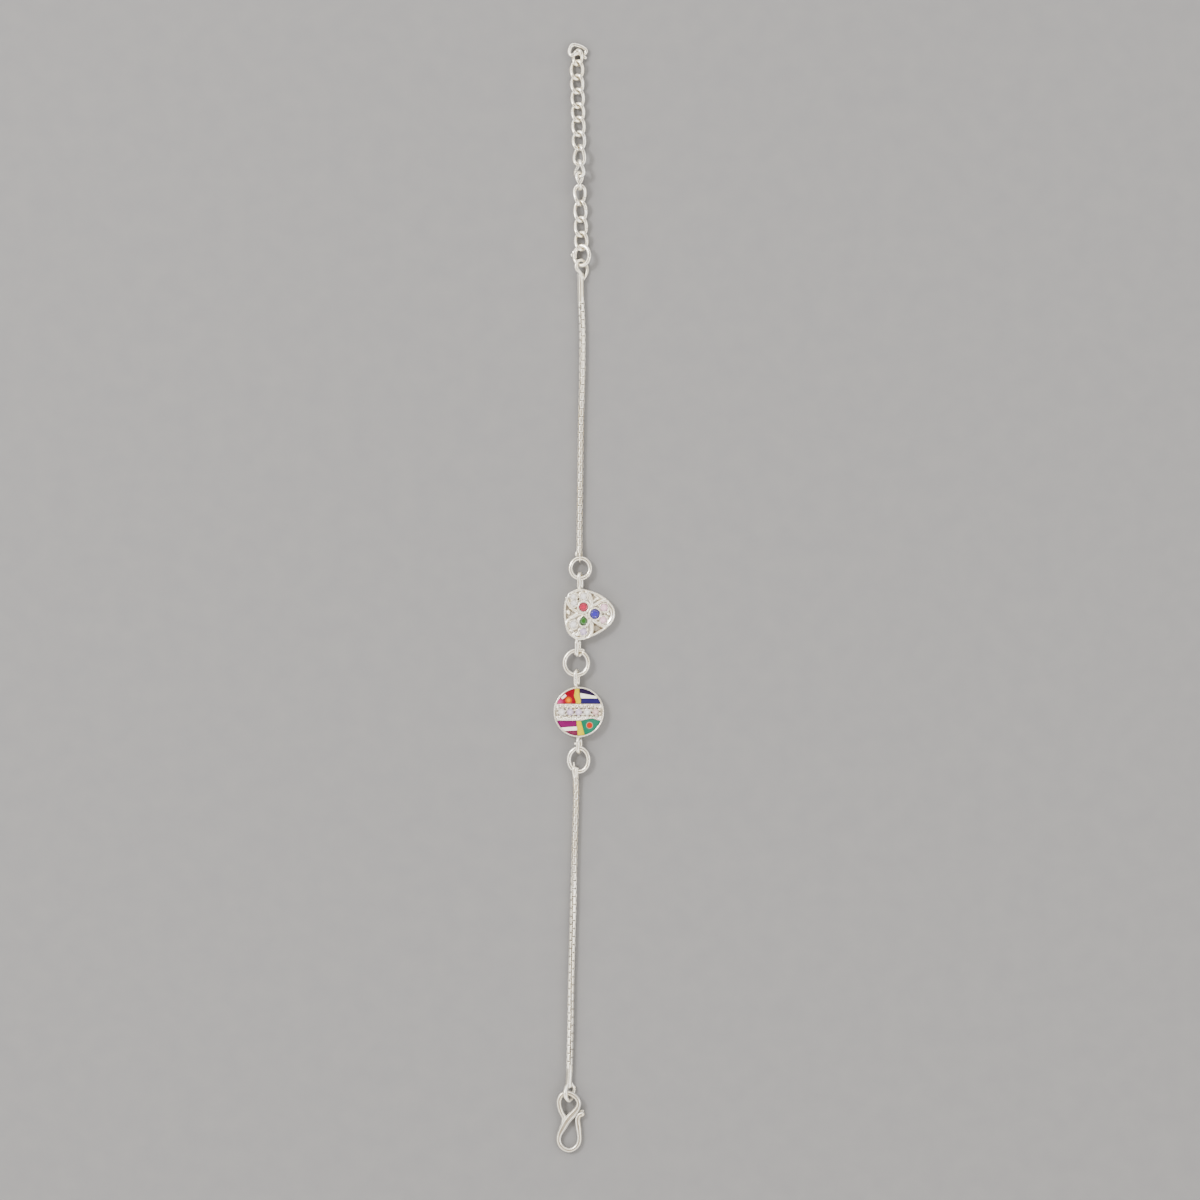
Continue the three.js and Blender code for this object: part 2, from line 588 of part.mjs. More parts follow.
function dot({ u, v, radius }, grow) {
  const [x, y, reach] = [u, v, radius + grow].map((share) => share * DISC.radius);
  return post(x, y, reach, DISC.base + STONE_GAP, DISC.enamelTop, 14);
}

function dash(grow) {
  const [from, to] = [DASH.from, DASH.to].map(([u, v]) => new THREE.Vector2(u, v));
  const along = to.clone().sub(from).normalize();
  const across = new THREE.Vector2(-along.y, along.x).multiplyScalar(DASH.thickness / 2 + grow);
  const start = from.clone().addScaledVector(along, -grow);
  const end = to.clone().addScaledVector(along, grow);
  const near = [start, end].map((point) => point.clone().sub(across));
  const far = [end, start].map((point) => point.clone().add(across));
  const corners = [...near, ...far];
  return prism(faceShape(corners.map(({ x, y }) => [x, y])), DISC.base + STONE_GAP, DISC.enamelTop);
}

function paveStoneCentres() {
  return Array.from({ length: PAVE_STONES }, (_, k) => (k - (PAVE_STONES - 1) / 2) * PAVE_STONE_PITCH);
}

function discBody() {
  const inner = DISC.radius - DISC.rim;
  const rim = toSolid(post(0, 0, DISC.radius, DISC.base - 0.1, DISC.rimTop, DISC_SIDES))
    .subtract(toSolid(post(0, 0, inner, 0, DISC.rimTop + 1, DISC_SIDES)));
  const band = toSolid(prism(faceShape(PAVE_OUTLINE), DISC.base - 0.1, DISC.paveTop))
    .intersect(toSolid(post(0, 0, inner + 0.1, 0, DISC.rimTop, DISC_SIDES)));
  const pockets = paveStoneCentres().map((x) => post(x, 0, PAVE_STONE_RADIUS + STONE_GAP, POCKET_FLOOR, 3));
  const loops = DISC_LOOPS.map((loop) => charmLoop(loop).translate(-DISC.x, -DISC.y, 0));
  const plate = post(0, 0, DISC.radius, 0, DISC.base, DISC_SIDES);
  return joined([plate, ...loops]).add(rim).add(band).subtract(joined(pockets));
}

function enamel() {
  const well = toSolid(post(0, 0, DISC.radius - DISC.rim - STONE_GAP, 0, DISC.rimTop, DISC_SIDES));
  const cuts = {
    enamel_red: joined([dot(DOT_ORANGE, CELL_GAP), dash(CELL_GAP)]),
    enamel_teal: joined([dot(DOT_RED, CELL_GAP)]),
  };
  const cells = ENAMEL_CELLS.map(({ name, slot, outline }) => {
    const cell = toSolid(prism(faceShape(outline), DISC.base + STONE_GAP, DISC.enamelTop)).intersect(well);
    return piece(name, slot, toGeometry(cuts[name] ? cell.subtract(cuts[name]) : cell));
  });
  return [
    ...cells,
    piece("enamel_dot_orange", "enamel_orange", dot(DOT_ORANGE, 0)),
    piece("enamel_dot_coral", "enamel_coral", dot(DOT_RED, 0)),
    piece("enamel_dash", "enamel_white", toGeometry(toSolid(dash(0)).intersect(well))),
  ];
}

function discCharm() {
  const group = new THREE.Group();
  group.add(piece("disc_body", "silver", toGeometry(discBody())), ...enamel());
  paveStoneCentres().forEach((x, k) => {
    const stone = roundStone({ x, y: 0, radius: PAVE_STONE_RADIUS, top: 1.85 });
    group.add(piece(`pave_stone_${k + 1}`, "stone_clear", stone));
  });
  group.position.set(DISC.x, DISC.y, 0);
  return group;
}

// ---------------------------------------------------------------- hook clasp

function hookClasp() {
  const whole = new THREE.CatmullRomCurve3(vectors(HOOK_ROUTE), false, "centripetal");
  const tip = HOOK_ROUTE[HOOK_ROUTE.length - 1];
  const parts = [
    openWire(new Stretch(whole, HOOK_STEPS, 0, HOOK_SPLIT), HOOK_WIRE, HOOK_SPLIT),
    openWire(new Stretch(whole, HOOK_STEPS, HOOK_SPLIT, HOOK_STEPS), HOOK_WIRE, HOOK_STEPS - HOOK_SPLIT),
    solderBead({ ...tip, radius: HOOK_TIP_RADIUS }),
  ];
  return piece("hook", "silver", toGeometry(joined(parts)));
}

// ---------------------------------------------------------------- the bracelet

const bracelet = new THREE.Group();
bracelet.add(
  extender(),
  ...JUMP_RINGS.map(jumpRing),
  chain("chain_upper", CHAIN_UPPER_ROUTE, UPPER_LOOP_ROUTE, END_LINKS.upper, []),
  trefoilCharm(),
  discCharm(),
  chain("chain_lower", CHAIN_LOWER_ROUTE, LOWER_LOOP_ROUTE, END_LINKS.lower, [solderBead(LOWER_LOOP_BEAD)]),
  hookClasp(),
);

// The origin: below the middle of the whole bracelet, on the surface.
const bounds = new THREE.Box3().setFromObject(bracelet, true);
const middle = bounds.getCenter(new THREE.Vector3());
bracelet.position.set(-middle.x, -middle.y, -bounds.min.z);

const part = new THREE.Group();
part.add(bracelet);

export default part;
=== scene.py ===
import math

import bpy
import numpy as np
from mathutils import Euler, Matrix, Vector
from mathutils.geometry import delaunay_2d_cdt


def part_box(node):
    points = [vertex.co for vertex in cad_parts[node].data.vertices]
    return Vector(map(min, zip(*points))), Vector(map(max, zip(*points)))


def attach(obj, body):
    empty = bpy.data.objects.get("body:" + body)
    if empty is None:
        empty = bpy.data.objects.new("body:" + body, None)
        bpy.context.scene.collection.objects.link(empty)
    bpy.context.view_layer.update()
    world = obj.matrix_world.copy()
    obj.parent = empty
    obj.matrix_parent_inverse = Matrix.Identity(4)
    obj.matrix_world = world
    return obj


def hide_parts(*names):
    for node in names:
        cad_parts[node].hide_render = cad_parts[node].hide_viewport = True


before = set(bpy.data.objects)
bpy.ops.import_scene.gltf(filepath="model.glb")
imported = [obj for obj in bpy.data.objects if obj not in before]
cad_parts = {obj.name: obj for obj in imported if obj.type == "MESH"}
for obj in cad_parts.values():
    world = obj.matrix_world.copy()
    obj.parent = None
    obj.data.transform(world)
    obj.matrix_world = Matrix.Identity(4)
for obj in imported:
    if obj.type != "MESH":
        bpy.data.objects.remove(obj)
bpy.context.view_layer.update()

# Looks of a charm bracelet that lies open and straight on a pale table. Shapes are worked out in
# millimetres, in the layout that the CAD routes use, and make() moves them into the frame, in metres.

MM = 0.001
UP = np.array([0.0, 0.0, 1.0])
random = np.random.default_rng(11)


def middle_of(node):
    """The middle of a CAD node's box in the frame, in millimetres."""
    low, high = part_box(node)
    return np.array((low + high) / 2) / MM


def size_of(node):
    """The width, length and height of a CAD node's box, in millimetres."""
    low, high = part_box(node)
    return np.array(high - low) / MM


DISC_MIDDLE = np.array([-1.03, -20.62, 0.0])  # in the layout; its middle pave stone is there in the frame
LAYOUT_TO_FRAME = (middle_of("pave_stone_3") - DISC_MIDDLE) * [1, 1, 0]


def top_of(node):
    """The height of a CAD node's top, in millimetres."""
    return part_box(node)[1].z / MM


def laid_out(node):
    """The middle of a CAD node's box in the layout, in millimetres."""
    return middle_of(node) - LAYOUT_TO_FRAME


# ---------------------------------------------------------------- points and lines


def unit(vectors):
    return vectors / np.linalg.norm(vectors, axis=-1, keepdims=True)


def smoothstep(low, high, value):
    share = np.clip((value - low) / (high - low), 0, 1)
    return share * share * (3 - 2 * share)


def even(line, steps, closed=False):
    """The line's points again, at equal steps. A closed line doesn't repeat its first point."""
    line = np.vstack([line, line[:1]]) if closed else np.asarray(line, float)
    travelled = np.concatenate([[0], np.cumsum(np.linalg.norm(np.diff(line, axis=0), axis=1))])
    stops = np.linspace(0, travelled[-1], steps + 1 if closed else steps)
    spaced = np.stack([np.interp(stops, travelled, axis) for axis in line.T], axis=1)
    return spaced[:-1] if closed else spaced


def smooth_route(rows, steps, closed=False):
    """Evenly spaced points on the centripetal Catmull-Rom curve through the rows."""
    rows = np.array(rows, float)
    if closed:
        knots = np.vstack([rows[-1:], rows, rows[:2]])
    else:
        knots = np.vstack([2 * rows[0] - rows[1], rows, 2 * rows[-1] - rows[-2]])
    dense = []
    for a, b, c, d in zip(knots, knots[1:], knots[2:], knots[3:]):
        t1 = np.linalg.norm(b - a) ** 0.5
        t2 = t1 + np.linalg.norm(c - b) ** 0.5
        t3 = t2 + np.linalg.norm(d - c) ** 0.5
        t = np.linspace(t1, t2, 16, endpoint=False)[:, None]
        ab = a + (b - a) * t / t1
        bc = b + (c - b) * (t - t1) / (t2 - t1)
        cd = c + (d - c) * (t - t2) / (t3 - t2)
        abc = ab + (bc - ab) * t / t2
        bcd = bc + (cd - bc) * (t - t1) / (t3 - t1)
        dense.append(abc + (bcd - abc) * (t - t1) / (t2 - t1))
    dense = np.vstack(dense if closed else [*dense, rows[-1:]])
    return even(dense, steps, closed)


def line_distance(spots, line, closed=False):
    """How far each spot is from a line of points, in the plane."""
    starts = line if closed else line[:-1]
    ends = np.roll(line, -1, axis=0) if closed else line[1:]
    along = ends - starts
    nearest = np.full(len(spots), np.inf)
    for start, leg in zip(starts, along):
        share = np.clip(((spots - start) @ leg) / (leg @ leg), 0, 1)
        nearest = np.minimum(nearest, np.linalg.norm(spots - start - share[:, None] * leg, axis=1))
    return nearest


def is_inside(spots, loops):
    """True for each spot that lies inside an odd number of the closed loops."""
    inside = np.zeros(len(spots), bool)
    x, y = spots.T
    for loop in loops:
        for (ax, ay), (bx, by) in zip(loop, np.roll(loop, -1, axis=0)):
            if ay == by:
                continue
            crosses = (ay > y) != (by > y)
            inside ^= crosses & (x < (bx - ax) * (y - ay) / (by - ay) + ax)
    return inside


def depth_inside(spots, loop):
    """How far each spot is inside a closed loop, and minus how far it is outside."""
    distance = line_distance(spots, loop, closed=True)
    return np.where(is_inside(spots, [loop]), distance, -distance)


def melted(a, b, blend):
    """The higher of two heights, with a fillet of about the blend's size where they meet."""
    share = np.maximum(blend - np.abs(a - b), 0) / blend
    return np.maximum(a, b) + share * share * blend / 4


def ripple(spots, size, seed):
    """A smooth uneven value from -1 to 1 for each spot, whose waves are about size long."""
    waves = np.random.default_rng(seed)
    total = np.zeros(len(spots))
    for _ in range(6):
        way = waves.normal(size=spots.shape[1])
        total += np.sin(spots @ (way * 2 * math.pi / (size * np.linalg.norm(way))) + waves.uniform(0, 7))
    return total / 6


# ---------------------------------------------------------------- meshes


class Shape:
    """Points in millimetres and the faces between them.

    grain is where each point lies in its material's streaks, and tone is how far its surface has
    changed from plain: tarnish and painted shade on silver, the second colour on enamel, which is painted
    shade where it darkens a cell's edge, and the painted shade of a stone's facet.
    """

    def __init__(self):
        self.points, self.faces, self.grain, self.tone, self.facet_painted_shade = [], [], [], [], []
        self.count = 0

    def add(self, points, faces, grain=None, tone=0.0):
        points = np.asarray(points, float)
        self.faces += [tuple(corner + self.count for corner in face) for face in faces]
        self.points.append(points)
        self.grain.append(points if grain is None else grain)
        self.tone.append(np.broadcast_to(np.asarray(tone, float), (len(points),)))
        self.count += len(points)


def grid_faces(rows, columns, rows_close=False, columns_close=False):
    """Four-sided faces of a grid of points, stored row after row."""
    faces = []
    for r in range(rows if rows_close else rows - 1):
        above = r * columns
        below = (r + 1) % rows * columns
        for c in range(columns if columns_close else columns - 1):
            beside = (c + 1) % columns
            faces.append((above + c, above + beside, below + beside, below + c))
    return faces


def drum_faces(rows, columns):
    """Faces of closed rings of points, stored ring after ring, with a flat face at each end."""
    last = (rows - 1) * columns
    ends = [tuple(range(columns - 1, -1, -1)), tuple(range(last, last + columns))]
    return grid_faces(rows, columns, columns_close=True) + ends


def both_skins(faces, count):
    """A skin's faces, and the same ones turned over for the skin below it, whose points are count later."""
    return faces + [tuple(corner + count for corner in face[::-1]) for face in faces]


def make(name, shape, material, nodes, smooth=True, bend=40):
    """Turns a shape into a piece that stands for its CAD nodes."""
    mesh = bpy.data.meshes.new(name)
    points = (np.concatenate(shape.points) + LAYOUT_TO_FRAME) * MM
    mesh.from_pydata(points.tolist(), [], shape.faces)
    grain = mesh.attributes.new("grain", "FLOAT_VECTOR", "POINT")
    grain.data.foreach_set("vector", np.concatenate(shape.grain).astype(np.float32).ravel())
    if shape.facet_painted_shade:
        tone = mesh.attributes.new("tone", "FLOAT", "FACE")
        tone.data.foreach_set("value", np.array(shape.facet_painted_shade, np.float32))
    else:
        tone = mesh.attributes.new("tone", "FLOAT", "POINT")
        tone.data.foreach_set("value", np.concatenate(shape.tone).astype(np.float32))
    mesh.update()
    if smooth:
        mesh.polygons.foreach_set("use_smooth", [True] * len(mesh.polygons))
        mesh.set_sharp_from_angle(angle=math.radians(bend))
    piece = bpy.data.objects.new(name, mesh)
    bpy.context.scene.collection.objects.link(piece)
    mesh.materials.append(material)
    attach(piece, "root")
    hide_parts(*nodes)


def lifted(line, radius):
    """A wire's line moved up as a whole, if need be, so that the wire lies on the table and not in it."""
    return line + UP * max(0.0, (radius - line[:, 2]).max())


CAP_BENDS = np.radians([88, 68, 46, 24])  # rings that round off a wire's open end


def wire(shape, line, radius, closed=False, normal=UP, sides=14, wide=1.0, high=1.0, square=1.0,
         flutes=0.0, tone=0.0):
    """Adds a drawn wire along a line. wide and high widen its section across and along normal.

    square below 1 makes the round section squarer, and flutes is the depth of its lengthwise grooves.
    """
    line = np.asarray(line, float)
    count = len(line)
    ahead = np.roll(line, -1, axis=0) - np.roll(line, 1, axis=0)
    if not closed:
        ahead[0] = line[1] - line[0]
        ahead[-1] = line[-1] - line[-2]
    ahead = unit(ahead)
    side = unit(np.cross(ahead, normal))
    lift = np.cross(side, ahead)
    radius, wide, high, flutes, tone = (
        np.broadcast_to(np.asarray(value, float), (count,)) for value in (radius, wide, high, flutes, tone)
    )
    travelled = np.concatenate([[0], np.cumsum(np.linalg.norm(np.diff(line, axis=0), axis=1))])
    if closed:
        pick = np.arange(count)
        out, shrink = np.zeros(count), np.ones(count)
    else:
        caps = len(CAP_BENDS)
        pick = np.concatenate([np.zeros(caps, int), np.arange(count), np.full(caps, count - 1)])
        out = np.concatenate([-np.sin(CAP_BENDS), np.zeros(count), np.sin(CAP_BENDS[::-1])])
        shrink = np.concatenate([np.cos(CAP_BENDS), np.ones(count), np.cos(CAP_BENDS[::-1])])
    turn = np.linspace(0, 2 * math.pi, sides, endpoint=False)
    section = np.stack([np.cos(turn), np.sin(turn)])
    section = np.sign(section) * np.abs(section) ** square
    reach = (radius[pick] * shrink)[:, None] * (1 + flutes[pick][:, None] * np.cos(6 * turn))
    reach = reach[..., None]
    across = section[0][None, :, None] * wide[pick][:, None, None]
    upward = section[1][None, :, None] * high[pick][:, None, None]
    centres = line[pick] + ahead[pick] * (out * radius[pick])[:, None]
    points = centres[:, None] + reach * (across * side[pick][:, None] + upward * lift[pick][:, None])
    streaks = np.empty_like(points)
    streaks[..., 0] = radius[pick][:, None] * np.cos(turn)
    streaks[..., 1] = radius[pick][:, None] * np.sin(turn)
    streaks[..., 2] = 0.12 * travelled[pick][:, None]
    streaks += random.uniform(0, 60, 3)
    faces = grid_faces(len(pick), sides, rows_close=closed, columns_close=True)
    if not closed:
        last = (len(pick) - 1) * sides
        faces += [tuple(range(sides)), tuple(range(last + sides - 1, last - 1, -1))]
    faces = [face[::-1] for face in faces]
    shape.add(points.reshape(-1, 3), faces, streaks.reshape(-1, 3), np.repeat(tone[pick], sides))


def bead(shape, middle, radius, stretch=(1, 1, 1), tone=0.0, rows=11, sides=16):
    """Adds a bead of solder, a little uneven all over. stretch lengthens it along X, Y and Z."""
    tilt = np.radians(np.linspace(3, 177, rows))
    turn = np.linspace(0, 2 * math.pi, sides, endpoint=False)
    ball = np.stack([
        np.outer(np.sin(tilt), np.cos(turn)),
        np.outer(np.sin(tilt), np.sin(turn)),
        np.outer(np.cos(tilt), np.ones(sides)),
    ], axis=-1).reshape(-1, 3)
    uneven = 1 + 0.05 * ripple(ball, 1.6, int(random.integers(1000)))
    faces = [face[::-1] for face in drum_faces(rows, sides)]
    points = np.asarray(middle) + ball * stretch * (radius * uneven)[:, None]
    shape.add(points, faces, ball * radius + random.uniform(0, 60, 3), tone)


# ---------------------------------------------------------------- materials


class Nodes:
    """Short calls that build a material's or the world's node tree."""

    def __init__(self, tree):
        self.tree = tree
        tree.nodes.clear()

    def new(self, kind, links=None, **settings):
        """A node of that kind. links maps its inputs to values or to other nodes' outputs."""
        node = self.tree.nodes.new(kind)
        for setting, value in settings.items():
            setattr(node, setting, value)
        for key, value in (links or {}).items():
            socket = node.inputs[key]
            if isinstance(value, bpy.types.NodeSocket):
                self.tree.links.new(value, socket)
            else:
                socket.default_value = value
        return node

    def attribute(self, name, output):
        return self.new("ShaderNodeAttribute", attribute_name=name).outputs[output]

    def noise(self, vector, scale, detail=3.0):
        links = {"Vector": vector, "Scale": scale, "Detail": detail}
        return self.new("ShaderNodeTexNoise", links).outputs["Fac"]

    def ramp(self, fac, *stops):
        """The colours or greys in stops, each (position, value), along fac."""
        node = self.new("ShaderNodeValToRGB", {"Fac": fac})
        elements = node.color_ramp.elements
        while len(elements) < len(stops):
            elements.new(0.5)
        for element, (position, value) in zip(elements, stops):
            element.position = position
            element.color = (*value, 1) if isinstance(value, tuple) else (value, value, value, 1)
        return node.outputs["Color"]

    def mix(self, fac, a, b, blend="MIX"):
        node = self.new("ShaderNodeMix", data_type="RGBA", blend_type=blend)
        for key, value in ((0, fac), (6, a), (7, b)):
            if isinstance(value, bpy.types.NodeSocket):
                self.tree.links.new(value, node.inputs[key])
            else:
                node.inputs[key].default_value = (*value, 1) if isinstance(value, tuple) else value
        return node.outputs[2]

    def math(self, operation, a, b):
        return self.new("ShaderNodeMath", {0: a, 1: b}, operation=operation).outputs[0]

    def bump(self, height, strength, distance):
        links = {"Height": height, "Strength": strength, "Distance": distance * MM}
        return self.new("ShaderNodeBump", links).outputs["Normal"]

    def surface(self, links):
        """Ends a material's tree with a principled shader."""
        shader = self.new("ShaderNodeBsdfPrincipled", links)
        self.new("ShaderNodeOutputMaterial", {"Surface": shader.outputs["BSDF"]})


def linear(red, green, blue):
    """A colour as the renderer counts it, from the one seen on a screen."""
    return tuple(((c + 0.055) / 1.055) ** 2.4 if c > 0.04045 else c / 12.92 for c in (red, green, blue))


def new_material(name):
    material = bpy.data.materials.new(name)
    material.use_nodes = True
    return material, Nodes(material.node_tree)


def grained_material(name):
    """A new material, its nodes, and the grain and tone that Shape keeps for each point."""
    material, nodes = new_material(name)
    return material, nodes, nodes.attribute("grain", "Vector"), nodes.attribute("tone", "Fac")


def silver(name, bright, shade, polish, streaks, sand=0.0):
    """Worn bright silver: fine streaks along the wire, warm and cool patches, and tarnish in the hollows,
    with painted shade there as well.

    polish is the roughness of its smoothest and dullest streaks. sand roughens the hollows.
    """
    material, nodes, grain, tone = grained_material(name)
    fine = nodes.noise(grain, 9.0, 4.0)
    broad = nodes.noise(grain, 1.1, 2.0)
    patches = nodes.mix(nodes.ramp(broad, (0.35, 0.0), (0.7, 1.0)), bright, shade)
    worn = nodes.mix(0.2, patches, nodes.ramp(fine, (0.3, 0.6), (0.6, 1.0)), blend="MULTIPLY")
    # tone darkens the silver to dark brown: tarnish, and painted shade in the hollows and round set stones
    tarnish_and_shade_mask = nodes.math("MULTIPLY", tone, nodes.ramp(fine, (0.25, 0.8), (0.6, 1.0)))
    colour = nodes.mix(tarnish_and_shade_mask, worn, TARNISH_AND_SHADE)
    low, high = polish
    rough = nodes.ramp(fine, (0.3, low), (0.7, high))
    rough = nodes.math("ADD", rough, nodes.math("MULTIPLY", tone, 0.3))
    strength = nodes.math("ADD", nodes.math("MULTIPLY", tone, sand), streaks)
    nodes.surface({
        "Base Color": colour,
        "Metallic": 1.0,
        "Roughness": rough,
        "Normal": nodes.bump(fine, strength, 0.02),
    })
    return material


def enamel(name, plain, second):
    """Glossy enamel: its colour pools darker in places, and its surface is faintly wavy."""
    material, nodes, grain, tone = grained_material(name)
    cloud = nodes.noise(grain, 1.3, 3.0)
    specks = nodes.noise(grain, 14.0, 2.0)
    pooled = nodes.mix(0.35, plain, nodes.ramp(cloud, (0.3, 0.6), (0.68, 1.0)), blend="MULTIPLY")
    dusted = nodes.mix(0.12, pooled, nodes.ramp(specks, (0.4, 0.5), (0.6, 1.0)), blend="MULTIPLY")
    colour = nodes.mix(tone, dusted, second)
    nodes.surface({
        "Base Color": colour,
        "Roughness": nodes.ramp(cloud, (0.3, 0.3), (0.7, 0.45)),
        "Specular IOR Level": 0.03,
        "Coat Weight": 0.35,
        "Coat Roughness": 0.04,
        "Normal": nodes.bump(nodes.math("ADD", cloud, nodes.math("MULTIPLY", specks, 0.12)), 0.15, 0.03),
    })
    return material


def gem(name, dark, light, core, ior):
    """A cut stone: each facet has its own painted shade between dark and light, which stands for the
    light a real stone bends and throws back, over a clear polished body.
    """
    material, nodes, grain, tone = grained_material(name)
    inside = nodes.noise(grain, 2.6, 2.0)
    facet = nodes.mix(tone, dark, light)
    colour = nodes.mix(nodes.ramp(inside, (0.45, 0.0), (0.75, 0.4)), facet, core)
    nodes.surface({
        "Base Color": colour,
        "Roughness": nodes.ramp(inside, (0.3, 0.02), (0.7, 0.07)),
        "IOR": ior,
    })
    return material


BRIGHT = (0.97, 0.95, 0.89)
SHADE = (0.92, 0.85, 0.69)
# The dark brown of tarnish, which also serves as painted shade in hollows, inside box links and round set
# stones.
TARNISH_AND_SHADE = (0.13, 0.09, 0.05)
SILVER_WIRE = silver("silver_wire", BRIGHT, SHADE, polish=(0.2, 0.34), streaks=0.2)
SILVER_CHAIN = silver("silver_chain", BRIGHT, SHADE, polish=(0.3, 0.44), streaks=0.15)
SILVER_CAST = silver("silver_cast", BRIGHT, SHADE, polish=(0.18, 0.36), streaks=0.2, sand=1.2)

# ---------------------------------------------------------------- curb links of the extender

LINK_WIRE = 0.66
LINK_WAVE = 0.38  # how far a link's sides rise and dip where linked wires cross
LINK_SLACK = 0.26  # added to the CAD's length, because thicker wires need longer links to stay clear
LINKS = [f"extender_link_{number:02d}" for number in range(1, 15)]
LINK_WIDTHS = [2.2] + 13 * [2.7]
LINK_ROLLS = [0, 0, 0, 0, 0, 0, 0, -30, -55, -105, -155, -180, -180, -180]


def joined_ring(width, length, seam, wave=0.0, steps=84):
    """A closed oval ring's centreline, and how far round from its joint each point is.

    The points crowd at the joint, which is at the seam's angle. wave lifts and dips the ring's sides.
    """
    share = np.arange(steps) / steps
    crowded = share - 0.85 * np.sin(2 * math.pi * share) / (2 * math.pi)
    turn = math.radians(seam) + 2 * math.pi * crowded
    line = np.stack([width / 2 * np.cos(turn), length / 2 * np.sin(turn), wave * np.sin(2 * turn)], axis=1)
    around = math.pi * (width + length) / 2
    return line, np.minimum(crowded, 1 - crowded) * around


def joint(away):
    """How a wire's radius changes near a soldered joint, and its tarnish there."""
    crack = np.exp(-((away / 0.035) ** 2))
    swell = np.exp(-((away / 0.3) ** 2))
    return 1 - 0.2 * crack + 0.05 * swell, 0.05 + 0.5 * crack


def curb_links():
    middles = [laid_out(node) for node in LINKS]
    for k, node in enumerate(LINKS):
        ahead = unit(middles[max(k - 1, 0)] - middles[min(k + 1, len(LINKS) - 1)])
        flat_x = unit(np.cross(ahead, UP))
        flat_z = np.cross(flat_x, ahead)
        roll = math.radians(LINK_ROLLS[k])
        across = flat_x * math.cos(roll) - flat_z * math.sin(roll)
        normal = flat_x * math.sin(roll) + flat_z * math.cos(roll)
        length = size_of(node)[1] / abs(ahead[1]) + LINK_SLACK
        width = (LINK_WIDTHS[k] - LINK_WIRE) * random.uniform(0.98, 1.02)
        line, away = joined_ring(width, length - LINK_WIRE, 180 + random.uniform(-14, 14), LINK_WAVE)
        swell, tone = joint(away)
        placed = lifted(middles[k] + line @ np.array([across, ahead, normal]), LINK_WIRE / 2)
        shape = Shape()
        wire(shape, placed, LINK_WIRE / 2 * swell, closed=True, normal=normal, tone=tone)
        make(f"{node}_wire", shape, SILVER_WIRE, [node])


END_RING_WIRE = 0.7
END_RING_ROUTE = [
    (0.12, 97.62, 0.27), (-0.45, 98.02, 0.27), (-1.09, 98.25, 0.6), (-1.7, 98.12, 1.08),
    (-2.35, 97.92, 1.14), (-2.75, 98.48, 0.85), (-2.59, 99.35, 0.6), (-2.12, 99.92, 0.55),
    (-1.27, 99.84, 0.5), (-0.27, 99.43, 0.45), (0.33, 98.87, 0.42), (0.17, 98.42, 0.42),
]


def end_ring():
    shape = Shape()
    line = lifted(smooth_route(END_RING_ROUTE, 110), END_RING_WIRE / 2)
    wire(shape, line, END_RING_WIRE / 2, sides=16)
    make("extender_end_ring_wire", shape, SILVER_WIRE, ["extender_end_ring"])


# ---------------------------------------------------------------- jump rings

# Outer sizes, the wire, the tilts that the CAD gives it, and the angle of the joint in its wire.
RINGS = {
    "extender_ring": dict(width=3.75, length=4.34, wire_size=0.78, lean=25, pitch=0, seam=100),
    "ring_upper": dict(width=4.33, length=4.47, wire_size=0.8, lean=0, pitch=-3.7, seam=-52),
    "ring_middle": dict(width=5.05, length=5.2, wire_size=0.79, lean=0, pitch=0, seam=57),
    "ring_lower": dict(width=4.35, length=5.1, wire_size=0.82, lean=0, pitch=3.2, seam=-128),
}


def open_ring(width, length, seam, steps=110):
    """The middle ring's centreline: its wire's ends don't meet, and the first one springs outwards."""
    half_gap = math.radians(4)
    turn = math.radians(seam) + np.linspace(half_gap, 2 * math.pi - half_gap, steps)
    sprung = np.linspace(1, 0, steps) ** 16
    x = (width / 2 + 0.38 * sprung) * np.cos(turn)
    y = (length / 2 + 0.38 * sprung) * np.sin(turn)
    return np.stack([x, y, 0.12 * sprung], axis=1), 1 - 0.2 * sprung


def jump_ring(node, width, length, wire_size, lean, pitch, seam):
    tilt = np.array(Euler((math.radians(pitch), math.radians(-lean), 0)).to_matrix())
    sizes = dict(width=width - wire_size, length=length - wire_size, seam=seam)
    shape = Shape()
    if node == "ring_middle":
        line, swell = open_ring(**sizes)
        tone = 0.05
    else:
        line, away = joined_ring(**sizes, steps=110)
        swell, tone = joint(away)
    placed = lifted(laid_out(node) + line @ tilt.T, wire_size / 2)
    closed = node != "ring_middle"
    wire(shape, placed, wire_size / 2 * swell, closed=closed, normal=tilt @ UP, sides=18, tone=tone)
    if node == "extender_ring":
        wrapped_end(shape, tilt)
    make(f"{node}_wire", shape, SILVER_WIRE, [node])


WRAPPED_ROUTE = [(-0.55, 1.3, 0.3), (-0.88, 0.8, 0.42), (-1.06, 0.25, 0.42), (-1.12, -0.35, 0.3)]


def wrapped_end(shape, tilt):
    """The extender ring's second end, tucked inside its left side, and the solder that holds it."""
    middle = laid_out("extender_ring") + UP * 0.09
    strand = smooth_route(WRAPPED_ROUTE, 30)
    wire(shape, middle + strand @ tilt.T, np.linspace(0.2, 0.27, 30), normal=tilt @ UP, tone=0.15)
    bead(shape, middle + tilt @ np.array([-1.52, 0.6, 0.12]), 0.36, stretch=(0.95, 1.25, 0.9))
    bead(shape, middle + tilt @ np.array([-1.98, 0.2, 0.0]), 0.27, stretch=(0.85, 1.35, 0.9))


def jump_rings():
    for node, row in RINGS.items():
        jump_ring(node, **row)


# ---------------------------------------------------------------- box chains

LINK_THICKNESS = 0.24
LINK_BREADTH = 0.6
LINK_PITCH = 0.72
LINK_OUTER = (LINK_BREADTH + 2 * LINK_THICKNESS, 2 * LINK_PITCH - 0.05)  # a box link's width and length

